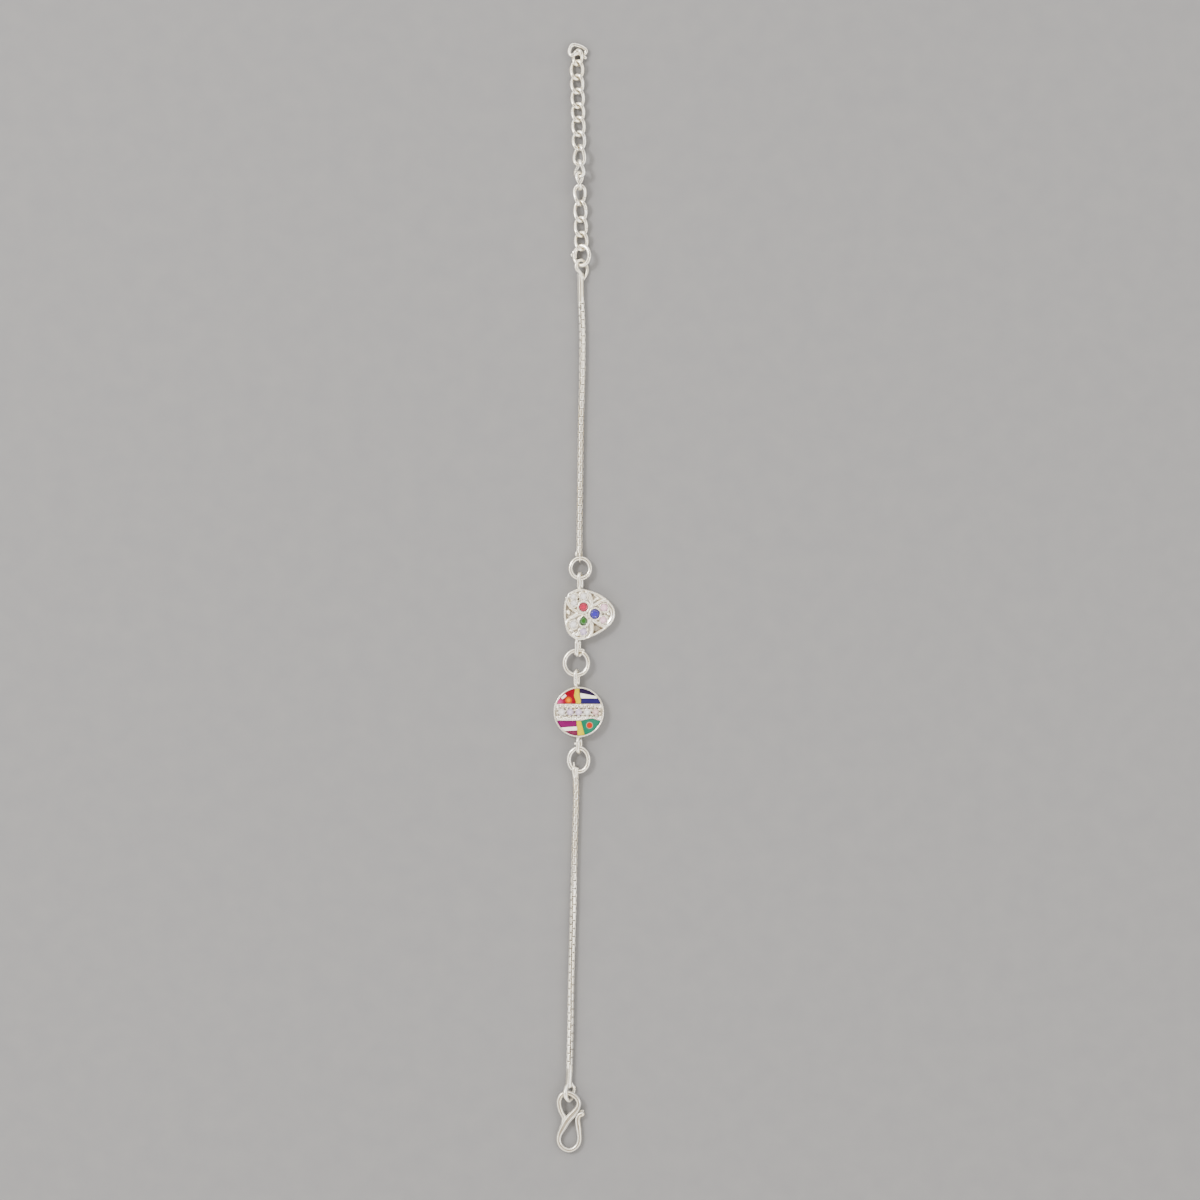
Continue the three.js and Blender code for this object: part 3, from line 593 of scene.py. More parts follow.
LYING = 0.51  # how high a chain's middle line is where the chain lies on the table
CHAIN_UPPER = dict(
    route=[
        (-0.66, 54.6, LYING), (-0.6, 52.5, LYING), (-0.45, 49.0, LYING), (-0.45, 40.0, LYING),
        (-0.6, 33.5, LYING), (-0.72, 26.0, LYING), (-0.81, 18.5, LYING), (-0.91, 11.5, LYING),
        (-0.9, 7.95, 0.84),
    ],
    rolls=[(57.9, 45), (50, 28), (36, 10), (27, 0), (8, 0)],
)
CHAIN_LOWER = dict(
    route=[
        (-1.6, -32.15, 0.84), (-1.5, -35.4, LYING), (-1.65, -40.9, LYING), (-1.83, -46.5, LYING),
        (-2.1, -57.0, LYING), (-2.4, -69.2, LYING), (-2.48, -76.1, LYING), (-2.6, -81.5, LYING),
        (-2.69, -85.2, LYING),
    ],
    rolls=[(-32, 0), (-44, 0), (-52, 16), (-60, 38), (-66, 42), (-76, 55), (-88, 55)],
)
UPPER_LOOP_ROUTE = [
    (-0.42, 57.7, 1.0), (-0.75, 58.6, 1.25), (-1.35, 59.3, 1.5), (-1.47, 60.1, 1.5), (-1.15, 60.75, 1.2),
    (-0.6, 60.97, 0.95), (-0.05, 60.75, 0.65), (0.3, 60.2, 0.36), (0.5, 59.45, 0.3), (0.35, 58.5, 0.36),
    (-0.2, 57.5, 0.5),
]
LOWER_LOOP_ROUTE = [
    (-2.95, -87.7, 0.85), (-3.3, -88.5, 1.5), (-3.45, -89.3, 1.9), (-3.3, -90.2, 1.7), (-2.78, -90.85, 1.05),
    (-2.25, -90.5, 0.5), (-1.98, -89.6, 0.28), (-1.9, -88.7, 0.36), (-2.4, -87.7, 0.5),
]
UPPER_LOOP_RADII = (0.27, 0.31, 0.34, 0.33, 0.3, 0.3, 0.3, 0.29, 0.28, 0.24, 0.2)
LOWER_LOOP_RADII = (0.34, 0.4, 0.4, 0.36, 0.31, 0.29, 0.28, 0.27, 0.25)
UPPER_BAR = dict(
    route=[(-0.72, 58.3, 0.72), (-0.7, 56.4, 0.66), (-0.66, 53.6, 0.62)],
    radii=(0.54, 0.5, 0.49, 0.49, 0.47),
    roll=32,
)
LOWER_BAR = dict(
    route=[(-2.67, -84.6, 0.58), (-2.75, -86.4, 0.62), (-2.86, -88.2, 0.7)],
    radii=(0.46, 0.45, 0.45, 0.5),
    roll=34,
)
UPPER_FLARE_ROUTE = [(-0.92, 9.2, 0.5), (-0.98, 8.5, 0.5), (-1.12, 7.8, 0.5)]
LOWER_FLARE_ROUTE = [(-1.52, -34.2, 0.6), (-1.58, -32.8, 0.72), (-1.68, -31.8, 1.05), (-1.72, -30.95, 1.2)]
STUB_ROUTE = [(-1.9, -29.9, 0.85), (-1.86, -30.4, 1.0), (-1.8, -30.9, 1.1)]
END_LINK_WIRE = 0.28
END_LINK_SIZE = (2.1, 1.66)  # its outer length and height
END_LINK_UPPER = (-0.86, 7.39, 0.86)
END_LINK_LOWER = (-1.6, -31.53, 0.86)


def rounded_box(width, length, radius, steps):
    """Evenly spaced points round a rectangle with round corners, in the plane."""
    corners = []
    for turn, sx, sy in ((0, 1, 1), (90, -1, 1), (180, -1, -1), (270, 1, -1)):
        angle = np.radians(turn + np.linspace(0, 90, 7))
        x = sx * (width / 2 - radius) + radius * np.cos(angle)
        y = sy * (length / 2 - radius) + radius * np.sin(angle)
        corners.append(np.stack([x, y], axis=1))
    return even(np.vstack(corners), steps, closed=True)


def box_link():
    """One link's points, faces and tone: a flat strip bent into a box, open above and below.

    The tone is a little tarnish all over and painted shade on the box's inner face.
    """
    width, length = (outer - LINK_THICKNESS for outer in LINK_OUTER)
    path = rounded_box(width, length, 0.07, 40)
    ahead = unit(np.roll(path, -1, axis=0) - np.roll(path, 1, axis=0))
    outward = np.stack([ahead[:, 1], -ahead[:, 0]], axis=1)
    turn = np.linspace(0, 2 * math.pi, 12, endpoint=False) + math.pi / 12
    section = np.stack([np.cos(turn), np.sin(turn)])
    out, rise = np.sign(section) * np.abs(section) ** 0.45 * [[LINK_THICKNESS / 2], [LINK_BREADTH / 2]]
    points = np.empty((len(path), len(turn), 3))
    points[..., :2] = path[:, None] + outward[:, None] * out[None, :, None]
    points[..., 2] = rise
    faces = [face[::-1] for face in grid_faces(len(path), len(turn), rows_close=True, columns_close=True)]
    # painted shade on the strip's inner face, inside the box
    inner_shade = smoothstep(0.05, -0.08, np.tile(out, len(path)))
    return points.reshape(-1, 3), faces, 0.03 + 0.8 * inner_shade


def chain_frames(line, rolls):
    """The way along a chain's line at each point, and the ways across and out of its rolled face.

    The line runs towards -Y. rolls has rows of Y and how many degrees the face leans towards +X there.
    """
    ahead = unit(np.gradient(line, axis=0))
    rows = sorted(rolls)
    roll = np.radians(np.interp(line[:, 1], [y for y, _ in rows], [angle for _, angle in rows]))[:, None]
    flat_x = unit(np.cross(ahead, UP))
    flat_z = np.cross(flat_x, ahead)
    across = flat_x * np.cos(roll) + flat_z * np.sin(roll)
    return ahead, across, flat_z * np.cos(roll) - flat_x * np.sin(roll)


def box_chain(shape, route, rolls):
    """Box links along a route, each a quarter turn from the one before."""
    dense = smooth_route(route, 600)
    length = np.linalg.norm(np.diff(dense, axis=0), axis=1).sum()
    line = even(dense, int(length / LINK_PITCH) + 1)
    points, faces, tone = box_link()
    for k, (spot, ahead, across, normal) in enumerate(zip(line, *chain_frames(line, rolls))):
        if k % 2:
            across, normal = normal, -across
        twist = random.uniform(-0.04, 0.04)
        across, normal = across + twist * normal, normal - twist * across
        grain = points * [1, 0.3, 1] + random.uniform(0, 60, 3)
        placed = spot + points @ np.array([across, ahead, normal])
        placed[:, 2] += max(0.0, 0.005 - placed[:, 2].min())  # a rolled link still lies on the table
        shape.add(placed, faces, grain, tone)


def standing_loop(width, height, tilt, steps=80):
    """A loop's centreline, two straight sides joined by half circles. It stands up, longest along Y."""
    radius = height / 2
    straight = width / 2 - radius
    half = np.radians(np.linspace(0, 180, 20))
    top = np.stack([radius * np.cos(half), straight + radius * np.sin(half)], axis=1)
    flat = even(np.vstack([top, -top]), steps, closed=True)
    tilt = math.radians(tilt)
    return np.stack([flat[:, 0] * math.sin(tilt), flat[:, 1], -flat[:, 0] * math.cos(tilt)], axis=1)


def end_link(shape, middle):
    length, height = END_LINK_SIZE
    loop = standing_loop(length - END_LINK_WIRE, height - END_LINK_WIRE, 0)
    wire(shape, np.array(middle) + loop, END_LINK_WIRE / 2, closed=True, normal=np.array([1.0, 0, 0]))


def soldered_end(shape, route, radii, roll):
    """The last few links of a chain, filled and covered with solder into a square bar."""
    line = smooth_route(route, 50)
    share = np.linspace(0, 1, len(line))
    radius = np.interp(share, np.linspace(0, 1, len(radii)), radii)
    radius = radius * (1 + 0.03 * ripple(line, 0.9, 4))
    _, across, _ = chain_frames(line, [(0, roll)])
    wire(shape, line, radius, normal=across, sides=32, square=0.6, flutes=0.05, tone=0.08)


def loop_end(shape, route, radii):
    """A chain's round end loop, whose wire tapers as it was drawn and filed."""
    line = smooth_route(route, 120)
    radius = np.interp(np.linspace(0, 1, len(line)), np.linspace(0, 1, len(radii)), radii)
    line[:, 2] = np.maximum(line[:, 2], radius)
    wire(shape, line, radius, sides=18, tone=0.06)


def flared_end(shape, route, steps, radius, flare, start, high, square):
    """A chain's pressed end: a flat bar that widens by the share flare, from start to its own end."""
    wide = smoothstep(start, 1, np.linspace(0, 1, steps)) * flare + 1
    wire(shape, smooth_route(route, steps), radius, wide=wide, high=high, sides=28, square=square, tone=0.06)


def upper_chain():
    shape = Shape()
    box_chain(shape, **CHAIN_UPPER)
    loop_end(shape, UPPER_LOOP_ROUTE, UPPER_LOOP_RADII)
    soldered_end(shape, **UPPER_BAR)
    bead(shape, (-0.32, 57.85, 1.0), 0.3, stretch=(1, 1.2, 1))
    flared_end(shape, UPPER_FLARE_ROUTE, 16, 0.49, flare=0.3, start=0.3, high=0.9, square=0.6)
    end_link(shape, END_LINK_UPPER)
    make("chain_upper_links", shape, SILVER_CHAIN, ["chain_upper"])


def lower_chain():
    shape = Shape()
    box_chain(shape, **CHAIN_LOWER)
    loop_end(shape, LOWER_LOOP_ROUTE, LOWER_LOOP_RADII)
    soldered_end(shape, **LOWER_BAR)
    bead(shape, (-1.9, -88.5, 0.42), 0.33)
    bead(shape, (-1.82, -88.9, 0.4), 0.26)
    flared_end(shape, LOWER_FLARE_ROUTE, 24, 0.43, flare=0.25, start=0.4, high=0.75, square=0.65)
    bead(shape, (-1.35, -30.85, 1.3), 0.26, stretch=(1.2, 0.8, 0.8))
    bead(shape, (-1.92, -29.85, 0.9), 0.19, tone=0.3)
    wire(shape, smooth_route(STUB_ROUTE, 10), 0.16, tone=0.3)
    end_link(shape, END_LINK_LOWER)
    make("chain_lower_links", shape, SILVER_CHAIN, ["chain_lower"])


# ---------------------------------------------------------------- stones

STONE_SIDES = 8
# From the middle outwards and then down: a band's darkest and lightest painted facet shade, and if
# they zigzag.
ROUND_BANDS = [
    (0.65, 0.85, False), (0.75, 0.45, True), (0.3, 0.6, True), (0.1, 0.3, False), (0.0, 0.1, False),
    (0.2, 0.4, False), (0.2, 0.4, False),
]
PEAR_BANDS = [
    (0.5, 0.75, False), (0.3, 0.6, False), (0.05, 0.3, False), (0.0, 0.1, False), (0.2, 0.4, False),
]


def facets(shape, rings, bands):
    """Adds a cut stone whose rings of corners run from the middle of its table down to its point.

    A band, between two rings, has its darkest and lightest painted facet shade, which stands for the
    light a real stone throws back, and whether its facets are triangles that point by turns up and down.
    In that case each corner below is half a step round from the one above.
    """
    points = np.vstack(rings)
    starts = np.cumsum([shape.count] + [len(ring) for ring in rings]).tolist()
    for upper, lower, first, second, band in zip(rings, rings[1:], starts, starts[1:], bands):
        dark, light, zigzag = band
        n, m = len(upper), len(lower)
        most = max(n, m)
        for k in range(most):
            a, b = first + k * n // most, first + (k + 1) * n // most % n
            c, d = second + k * m // most, second + (k + 1) * m // most % m
            for turn, face in enumerate([(a, c, b), (b, c, d)] if zigzag else [(a, c, d, b)]):
                corners = tuple(dict.fromkeys(face))
                if len(corners) > 2:
                    shape.faces.append(corners)
                    # each facet's painted shade, by turns the band's dark one and its light one
                    chosen = light if (turn if zigzag else k % 2) else dark
                    shape.facet_painted_shade.append(chosen + random.uniform(-0.12, 0.12))
    shape.faces.append(tuple(range(starts[-1] - 1, starts[-2] - 1, -1)))
    shape.facet_painted_shade.append(0.2)
    shape.add(points, [], points - points.mean(axis=0) + random.uniform(0, 60, 3))


def ring_of(sides, radius, height, turn=0.0):
    angle = 2 * math.pi * (np.arange(sides) + turn) / sides
    return np.stack([radius * np.cos(angle), radius * np.sin(angle), np.full(sides, height)], axis=1)


def brilliant(shape, middle, radius, top, turn=0.0):
    """A round brilliant: a table, star and bezel facets, a girdle and a pointed pavilion.

    Its table's own wedges carry painted shades that stand for the pavilion's facets, seen through it.
    """
    crown = 0.26 * radius / 0.66
    girdle_turn = 2 * turn + 2.5
    rings = [
        ring_of(1, 0.0, top),
        ring_of(STONE_SIDES, 0.3 * radius, top - 0.004, turn),
        ring_of(STONE_SIDES, 0.58 * radius, top, turn + 0.5),
        ring_of(STONE_SIDES, 0.8 * radius, top - 0.5 * crown, turn + 1),
        ring_of(2 * STONE_SIDES, radius, top - crown, girdle_turn),
        ring_of(2 * STONE_SIDES, radius, top - crown - 0.04, girdle_turn),
        ring_of(STONE_SIDES, 0.35 * radius, top - crown - 0.42, turn + 1.5),
        ring_of(STONE_SIDES, 0.02 * radius, top - crown - 0.6, turn + 1.5),
    ]
    place = np.array([middle[0], middle[1], 0.0])
    facets(shape, [ring + place for ring in rings], ROUND_BANDS)


def pear_outline(width, length, sides):
    """A pear's outline about its box's middle, with its point towards +Y."""
    radius = width / 2
    turn = np.radians(np.linspace(150, 390, 24))
    bowl = np.stack([radius * np.cos(turn), radius * np.sin(turn) - length / 2 + radius], axis=1)
    return even(np.vstack([bowl, [[0, length / 2]]]), sides, closed=True)


def pear_stone(shape, middle, width, length, top):
    """A pear-shaped stone: a table, one band of facets down to its girdle, and a pavilion."""
    outline = pear_outline(width, length, 14)
    rings = [np.array([[0.0, 0.0, top]])]
    for share, drop in ((0.5, 0), (0.78, 0.12), (1, 0.3), (1, 0.35), (0.4, 0.7)):
        rings.append(np.column_stack([outline * share, np.full(len(outline), top - drop)]))
    place = np.array([middle[0], middle[1], 0.0])
    facets(shape, [ring + place for ring in rings], PEAR_BANDS)


# Each gem's material name, its darkest and lightest painted facet shade, its core colour and its IOR.
GEMS = {
    "ruby": gem("ruby", (0.06, 0.001, 0.01), (0.6, 0.02, 0.08), (0.42, 0.008, 0.04), 1.6),
    "blue": gem("blue_stone", (0.003, 0.001, 0.035), (0.06, 0.04, 0.5), (0.016, 0.007, 0.24), 1.6),
    "green": gem("green_stone", (0.003, 0.018, 0.003), (0.035, 0.17, 0.022), (0.015, 0.09, 0.01), 1.6),
    "pink": gem("pink_stone", (0.4, 0.17, 0.26), (1.0, 0.76, 0.86), (0.88, 0.52, 0.68), 1.9),
    "white": gem("white_stone", (0.36, 0.32, 0.3), (1.0, 1.0, 1.0), (0.9, 0.9, 0.94), 2.1),
    "lilac": gem("lilac_stone", (0.16, 0.09, 0.2), (0.82, 0.72, 0.92), (0.6, 0.46, 0.76), 1.9),
    "rose": gem("rose_stone", (0.22, 0.08, 0.08), (0.9, 0.7, 0.68), (0.76, 0.4, 0.4), 1.9),
}
# Each round stone's colour in the GEMS table, and its slot.
STONES = [
    ("stone_ruby", "ruby", "stone_ruby"),
    ("stone_blue", "blue", "stone_blue"),
    ("stone_pink_upper", "pink", "stone_pink"),
    ("stone_pink_lower", "pink", "stone_pink"),
    *[(f"stone_white_{k}", "white", "stone_clear") for k in range(1, 5)],
    ("stone_white_5", "lilac", "stone_clear"),
    ("pave_stone_1", "white", "stone_clear"),
    ("pave_stone_2", "lilac", "stone_clear"),
    ("pave_stone_3", "lilac", "stone_clear"),
    ("pave_stone_4", "white", "stone_clear"),
    ("pave_stone_5", "rose", "stone_clear"),
]


def stone_radius(node):
    """A round stone's radius at the corners of its girdle."""
    return size_of(node)[0] / 2 / math.cos(math.pi / STONE_SIDES)


def stones():
    for node, colour, slot in STONES:
        shape = Shape()
        brilliant(shape, laid_out(node), stone_radius(node), top_of(node), random.uniform(0, 1))
        make(f"{node}_cut", shape, GEMS[colour], [node], smooth=False)
    shape = Shape()
    width, length, _ = size_of("stone_green")
    pear_stone(shape, laid_out("stone_green"), width, length, top_of("stone_green"))
    make("stone_green_cut", shape, GEMS["green"], ["stone_green"], smooth=False)


# ---------------------------------------------------------------- trefoil charm

TREFOIL_MIDDLE = laid_out("stone_blue") * [1, 1, 0] - [1.05, 0.07, 0]
TREFOIL_CORNERS = [(2.02, 0.11, 2.72, -38, 35), (-1.45, 1.55, 3.1, 80, 172), (-1.6, -1.9, 2.72, 196, 285)]
CHARM_LOOP_WIRE = 0.65
CHARM_LOOP_HEIGHT = 2.2
CHARM_LOOP_TILT = 20
PETALS = [
    [
        (0.5, 1.3), (0.58, 2.4), (0.28, 3.4), (-0.3, 4.4), (-2.2, 4.9), (-4.1, 3.9), (-4.3, 3.0),
        (-3.95, 2.1), (-3.0, 0.95), (-1.9, 0.12), (-1.0, 0.1), (-0.05, 0.65),
    ],
    [
        (-0.5, 0.1), (-1.4, 0.18), (-2.4, 0.08), (-3.35, -0.5), (-4.05, -1.15), (-4.5, -2.0), (-4.1, -3.6),
        (-2.2, -5.0), (0.0, -4.6), (0.3, -3.9), (0.63, -2.95), (0.63, -1.85), (0.2, -1.05), (-0.15, -0.3),
    ],
    [
        (-0.2, 0.1), (0.1, 0.9), (0.56, 1.45), (1.35, 1.86), (2.1, 2.34), (2.9, 2.58), (3.8, 2.2),
        (4.45, 1.3), (4.6, 0.1), (4.1, -1.2), (3.45, -1.97), (2.72, -2.27), (2.05, -2.1), (1.3, -1.58),
        (0.5, -1.18), (-0.15, -0.6),
    ],
]
RIDGES = [
    [(0.41, 1.2), (0.47, 1.9), (0.41, 2.4), (0.11, 3.31), (-0.35, 4.15)],
    [(-1.3, 0.1), (-1.72, 0.19), (-2.94, 1.03), (-3.63, 1.79), (-3.93, 2.55), (-4.08, 2.93)],
    [(-1.0, 0.16), (-1.26, 0.13), (-2.33, -0.04), (-3.24, -0.65), (-3.93, -1.26), (-4.16, -1.71)],
    [(-0.45, 0.0), (-0.35, -0.19), (0.03, -1.1), (0.49, -1.87), (0.49, -2.93), (0.11, -3.85), (-0.2, -4.3)],
    [(0.35, 1.2), (0.56, 1.41), (1.33, 1.85), (2.09, 2.3), (2.85, 2.48), (3.4, 2.3)],
    [(-0.12, -0.57), (0.56, -0.95), (1.33, -1.4), (2.09, -1.85), (2.7, -2.12), (3.2, -2.1)],
]
VEINS = [[(0.85, 2.3), (1.4, 2.75), (2.2, 2.95)], [(0.95, 3.75), (1.3, 3.3), (1.9, 3.05), (2.7, 2.8)]]
PITS = [
    (-1.91, 2.7), (-0.31, 2.78), (-3.4, 2.4), (-2.48, 1.18), (-3.55, 3.31), (0.11, 4.0), (-2.33, -3.31),
    (-2.94, -3.2), (-1.6, -2.6), (-2.0, -1.4), (-0.4, -2.4), (2.56, 0.02), (1.45, -1.1), (1.5, 1.25),
    (-3.5, -2.6),
]
# Where each lone grain of metal is, and its radius.
LONE_GRAINS = [
    (-3.78, 0.42, 0.26), (-2.71, -3.62, 0.24), (-2.1, -3.62, 0.24), (-3.3, -2.85, 0.2), (3.5, 0.1, 0.2),
]
# The width and top of the collar round each of these stones.
TREFOIL_BEZELS = [("stone_ruby", 0.27, 1.9), ("stone_blue", 0.22, 1.94)]
TREFOIL_FIELD = 1.1
PETAL_EDGE = 1.12
PETAL_RISE = 0.34
VEIN = (0.13, 1.36)  # half its width, and its top
RIDGE = (0.17, 1.74)
TREFOIL_RIM = (0.24, 1.58)
BEZEL_SEAT = 1.72
GRAIN_SEAT = 1.55
PEAR_SEAT = 1.66
TREFOIL_SET = ["stone_pink_upper", "stone_pink_lower", *[f"stone_white_{k}" for k in range(1, 6)]]


def tangent_meeting(a, turn_a, b, turn_b):
    """Where the tangents of two corner arcs meet, at the end of one and the start of the next."""
    reach_a = a[0] * math.cos(turn_a) + a[1] * math.sin(turn_a) + a[2]
    reach_b = b[0] * math.cos(turn_b) + b[1] * math.sin(turn_b) + b[2]
    spread = math.sin(turn_b - turn_a)
    x = (reach_a * math.sin(turn_b) - reach_b * math.sin(turn_a)) / spread
    y = (reach_b * math.cos(turn_a) - reach_a * math.cos(turn_b)) / spread
    return np.array([x, y])


def trefoil_outline(steps):
    """A rounded triangle: three corner arcs joined by sides that bulge a little."""
    line = []
    for k, corner in enumerate(TREFOIL_CORNERS):
        following = TREFOIL_CORNERS[(k + 1) % 3]
        x, y, radius, start, stop = corner
        turn = np.radians(np.linspace(start, stop, 24))
        line.append(np.stack([x + radius * np.cos(turn), y + radius * np.sin(turn)], axis=1))
        leave, arrive = math.radians(stop), math.radians(following[3])
        bulge = tangent_meeting(corner, leave, following, arrive)
        first = line[-1][-1]
        last = np.array(following[:2]) + following[2] * np.array([math.cos(arrive), math.sin(arrive)])
        share = np.linspace(0, 1, 24)[1:-1, None]
        line.append((1 - share) ** 2 * first + 2 * share * (1 - share) * bulge + share**2 * last)
    return even(np.vstack(line), steps, closed=True)


def rail(distance, half_width, top):
    """The height of a rounded rail whose middle line is this far away. Beyond its side it falls steeply."""
    return top - 0.5 * half_width * (distance / half_width) ** 2


def hollows(height_of, low, high, spots, step=0.05, reach=4):
    """How much lower each spot of a face is than the face round it, out to reach steps away."""
    xs = np.arange(low[0], high[0] + step, step)
    ys = np.arange(low[1], high[1] + step, step)
    grid = np.stack(np.meshgrid(xs, ys), axis=-1).reshape(-1, 2)
    heights = height_of(grid).reshape(len(ys), len(xs))
    blurred = heights
    for axis in (0, 1, 0, 1):
        shifts = [np.roll(blurred, shift, axis) for shift in range(-reach, reach + 1)]
        blurred = sum(shifts) / len(shifts)
    column = np.clip(((spots[:, 0] - low[0]) / step).round().astype(int), 0, len(xs) - 1)
    row = np.clip(((spots[:, 1] - low[1]) / step).round().astype(int), 0, len(ys) - 1)
    return blurred[row, column] - height_of(spots)


def set_stone(height, spots, middle, radius, seat, grains, turn):
    """Sinks a stone's seat into a face and raises the grains of metal that hold it."""
    away = np.linalg.norm(spots - middle, axis=1)
    height = np.where(away < radius + 0.02, np.minimum(height, seat - 0.9 * (radius - away)), height)
    for k in range(grains):
        angle = 2 * math.pi * (k + turn) / grains
        grain = middle + (radius + 0.05) * np.array([math.cos(angle), math.sin(angle)])
        height = melted(height, rail(np.linalg.norm(spots - grain, axis=1), 0.12, seat + 0.34), 0.05)
    return height


def seat_shadow(spots, middle, radius):
    """The broken ring of painted shadow, with some tarnish, round a set stone, from 0 to 1 for each spot."""
    away = np.linalg.norm(spots - middle, axis=1) - radius
    broken = 0.55 + 0.45 * ripple(spots, 0.5, 17)
    return broken * smoothstep(0.26, 0.06, np.abs(away - 0.02))


def trefoil_height(spots):
    """The height of the trefoil's face at each spot, about its middle."""
    edge = depth_inside(spots, trefoil_outline(160))
    height = TREFOIL_FIELD + 0.02 * ripple(spots, 1.1, 3)
    for outline in PETALS:
        inside = depth_inside(spots, smooth_route(outline, 90, closed=True))
        dome = PETAL_EDGE + PETAL_RISE * smoothstep(0.0, 0.5, inside) + 0.02 * ripple(spots, 0.8, 5)
        height = np.where(inside > 0, melted(height, dome, 0.06), height)
    for vein in VEINS:
        distance = line_distance(spots, smooth_route(vein, 24))
        height = melted(height, rail(distance, *VEIN), 0.1)
    for ridge in RIDGES:
        distance = line_distance(spots, smooth_route(ridge, 60))
        height = melted(height, rail(distance, *RIDGE), 0.16)
    for x, y, radius in LONE_GRAINS:
        height = melted(height, rail(np.linalg.norm(spots - [x, y], axis=1), radius, 1.35 + radius), 0.1)
    for x, y in PITS:
        height -= 0.25 * np.exp(-((np.linalg.norm(spots - [x, y], axis=1) / 0.12) ** 2))
    broad = 1 + 0.9 * smoothstep(2.4, 3.6, spots[:, 0]) * smoothstep(3.0, 1.8, np.abs(spots[:, 1]))
    half_rim, rim_top = TREFOIL_RIM
    height = melted(height, rim_top - 0.3 * ((edge / broad - half_rim) / half_rim) ** 2, 0.14)
    for node, width, top in TREFOIL_BEZELS:
        middle, radius = stone_spot(node)
        away = np.linalg.norm(spots - middle, axis=1)
        height = melted(height, rail(np.abs(away - radius - width / 2), width / 2, top), 0.08)
        height = set_stone(height, spots, middle, radius, BEZEL_SEAT, 0, 0)
    for k, node in enumerate(TREFOIL_SET):
        middle, radius = stone_spot(node)
        away = np.linalg.norm(spots - middle, axis=1)
        height = melted(height, rail(np.abs(away - radius - 0.08), 0.1, 1.66), 0.08)
        height = set_stone(height, spots, middle, radius, GRAIN_SEAT, 4, 0.37 * k)
    pear = pear_loop()
    height = melted(height, rail(np.abs(depth_inside(spots, pear) + 0.1), 0.12, 1.86), 0.08)
    inside = depth_inside(spots, pear)
    return np.where(inside > -0.02, np.minimum(height, PEAR_SEAT - 0.9 * inside), height)


def trefoil_face(spots):
    """The height of the trefoil's face, and its tone: tarnish in the sandy recesses, painted shade with
    some tarnish in the hollows, and a painted shadow round each set stone.
    """
    height = trefoil_height(spots)
    sunk = hollows(trefoil_height, (-5.2, -5.2), (5.2, 5.2), spots)
    sandiest = smoothstep(1.0, 4.0, spots[:, 0] - spots[:, 1])  # towards the lower right
    recessed = (0.12 + 0.3 * sandiest) * smoothstep(1.3, 1.15, height)
    around = np.zeros(len(spots))
    for node in TREFOIL_SET:
        around = np.maximum(around, seat_shadow(spots, *stone_spot(node)))
    # sunk paints shade into the hollows, and around paints a shadow round the set stones
    return height, np.clip(recessed + 0.72 * smoothstep(0.02, 0.14, sunk) + 0.4 * around, 0, 1)


def stone_spot(node):
    """Where a trefoil stone is on the charm, in the plane, and its radius."""
    return (laid_out(node) - TREFOIL_MIDDLE)[:2], stone_radius(node)


def pear_loop():
    """The green stone's outline on the charm, in the plane."""
    width, length, _ = size_of("stone_green")
    return pear_outline(width, length, 40) + (laid_out("stone_green") - TREFOIL_MIDDLE)[:2]


def charm_loop(shape, x, free, fixed):
    """A soldered loop that stands nearly upright at a charm's edge, from its free end into the charm."""
    length = abs(free - fixed) - CHARM_LOOP_WIRE
    loop = standing_loop(length, CHARM_LOOP_HEIGHT - CHARM_LOOP_WIRE, CHARM_LOOP_TILT, 100)
    lean = math.radians(CHARM_LOOP_TILT)
    normal = np.array([math.cos(lean), 0, math.sin(lean)])
    middle = np.array([x, (free + fixed) / 2, CHARM_LOOP_HEIGHT / 2])
    wire(shape, middle + loop, CHARM_LOOP_WIRE / 2, closed=True, normal=normal, sides=18, tone=0.06)


def casting(shape, outline, rings, face, place, thick_edge):
    """A flat-backed casting: a sculpted face over rings that shrink to its middle, a wall and a back."""
    count = len(outline)
    shares = 1 - np.linspace(0, 1, rings + 1)[:-1] ** 1.15
    spots = (outline[None] * shares[:, None, None]).reshape(-1, 2)
    height, tone = face(spots)
    inward = unit(outline) * -1
    wall = []
    for inset, level in ((0.2, 0.0), (0.06, 0.05), (0.0, 0.18), (0.0, thick_edge - 0.05)):
        wall.append(np.column_stack([outline + inward * inset, np.full(count, level)]))
    top = np.column_stack([spots, height])
    points = np.vstack([*wall, top])
    tones = np.concatenate([np.full(len(wall) * count, 0.1), tone])
    faces = drum_faces(len(wall) + rings, count)
    shape.add(points + place, faces, points + random.uniform(0, 60, 3), tones)


def trefoil():
    shape = Shape()
    outline = trefoil_outline(420)
    casting(shape, outline, 112, trefoil_face, TREFOIL_MIDDLE, 1.3)
    charm_loop(shape, x=-0.76, free=4.76, fixed=1.15)
    charm_loop(shape, x=-1.18, free=-10.72, fixed=-7.15)
    bent_end = [
        (-1.78, -9.6, 0.5), (-1.62, -10.15, 0.8), (-1.08, -10.48, 1.0), (-0.6, -10.15, 0.8),
        (-0.44, -9.6, 0.5),
    ]
    wire(shape, smooth_route(bent_end, 40), 0.25, tone=0.1)
    make("trefoil_casting", shape, SILVER_CAST, ["trefoil_body"], bend=60)


# ---------------------------------------------------------------- disc charm

DISC_RADIUS = 4.575
DISC_RIM = 0.32
DISC_FLOOR = 1.3
ENAMEL_TOP = 1.5
ENAMEL_GROW = 0.05  # how far the enamel reaches past its CAD cell, towards its neighbours
# The pave band's edges in shares of the disc's radius, from its left to its right.
PAVE_TOP = 0.315
PAVE_BOTTOM = [(-1, -0.335), (0.1, -0.325), (0.32, -0.28), (0.54, -0.25), (0.8, -0.335), (1, -0.335)]
PAVE_PITCH = 1.53
PAVE_RADIUS = 0.66
PAVE_SEAT = 1.52
PAVE_MIDDLES = [np.array([(k - 2) * PAVE_PITCH, 0.0]) for k in range(5)]
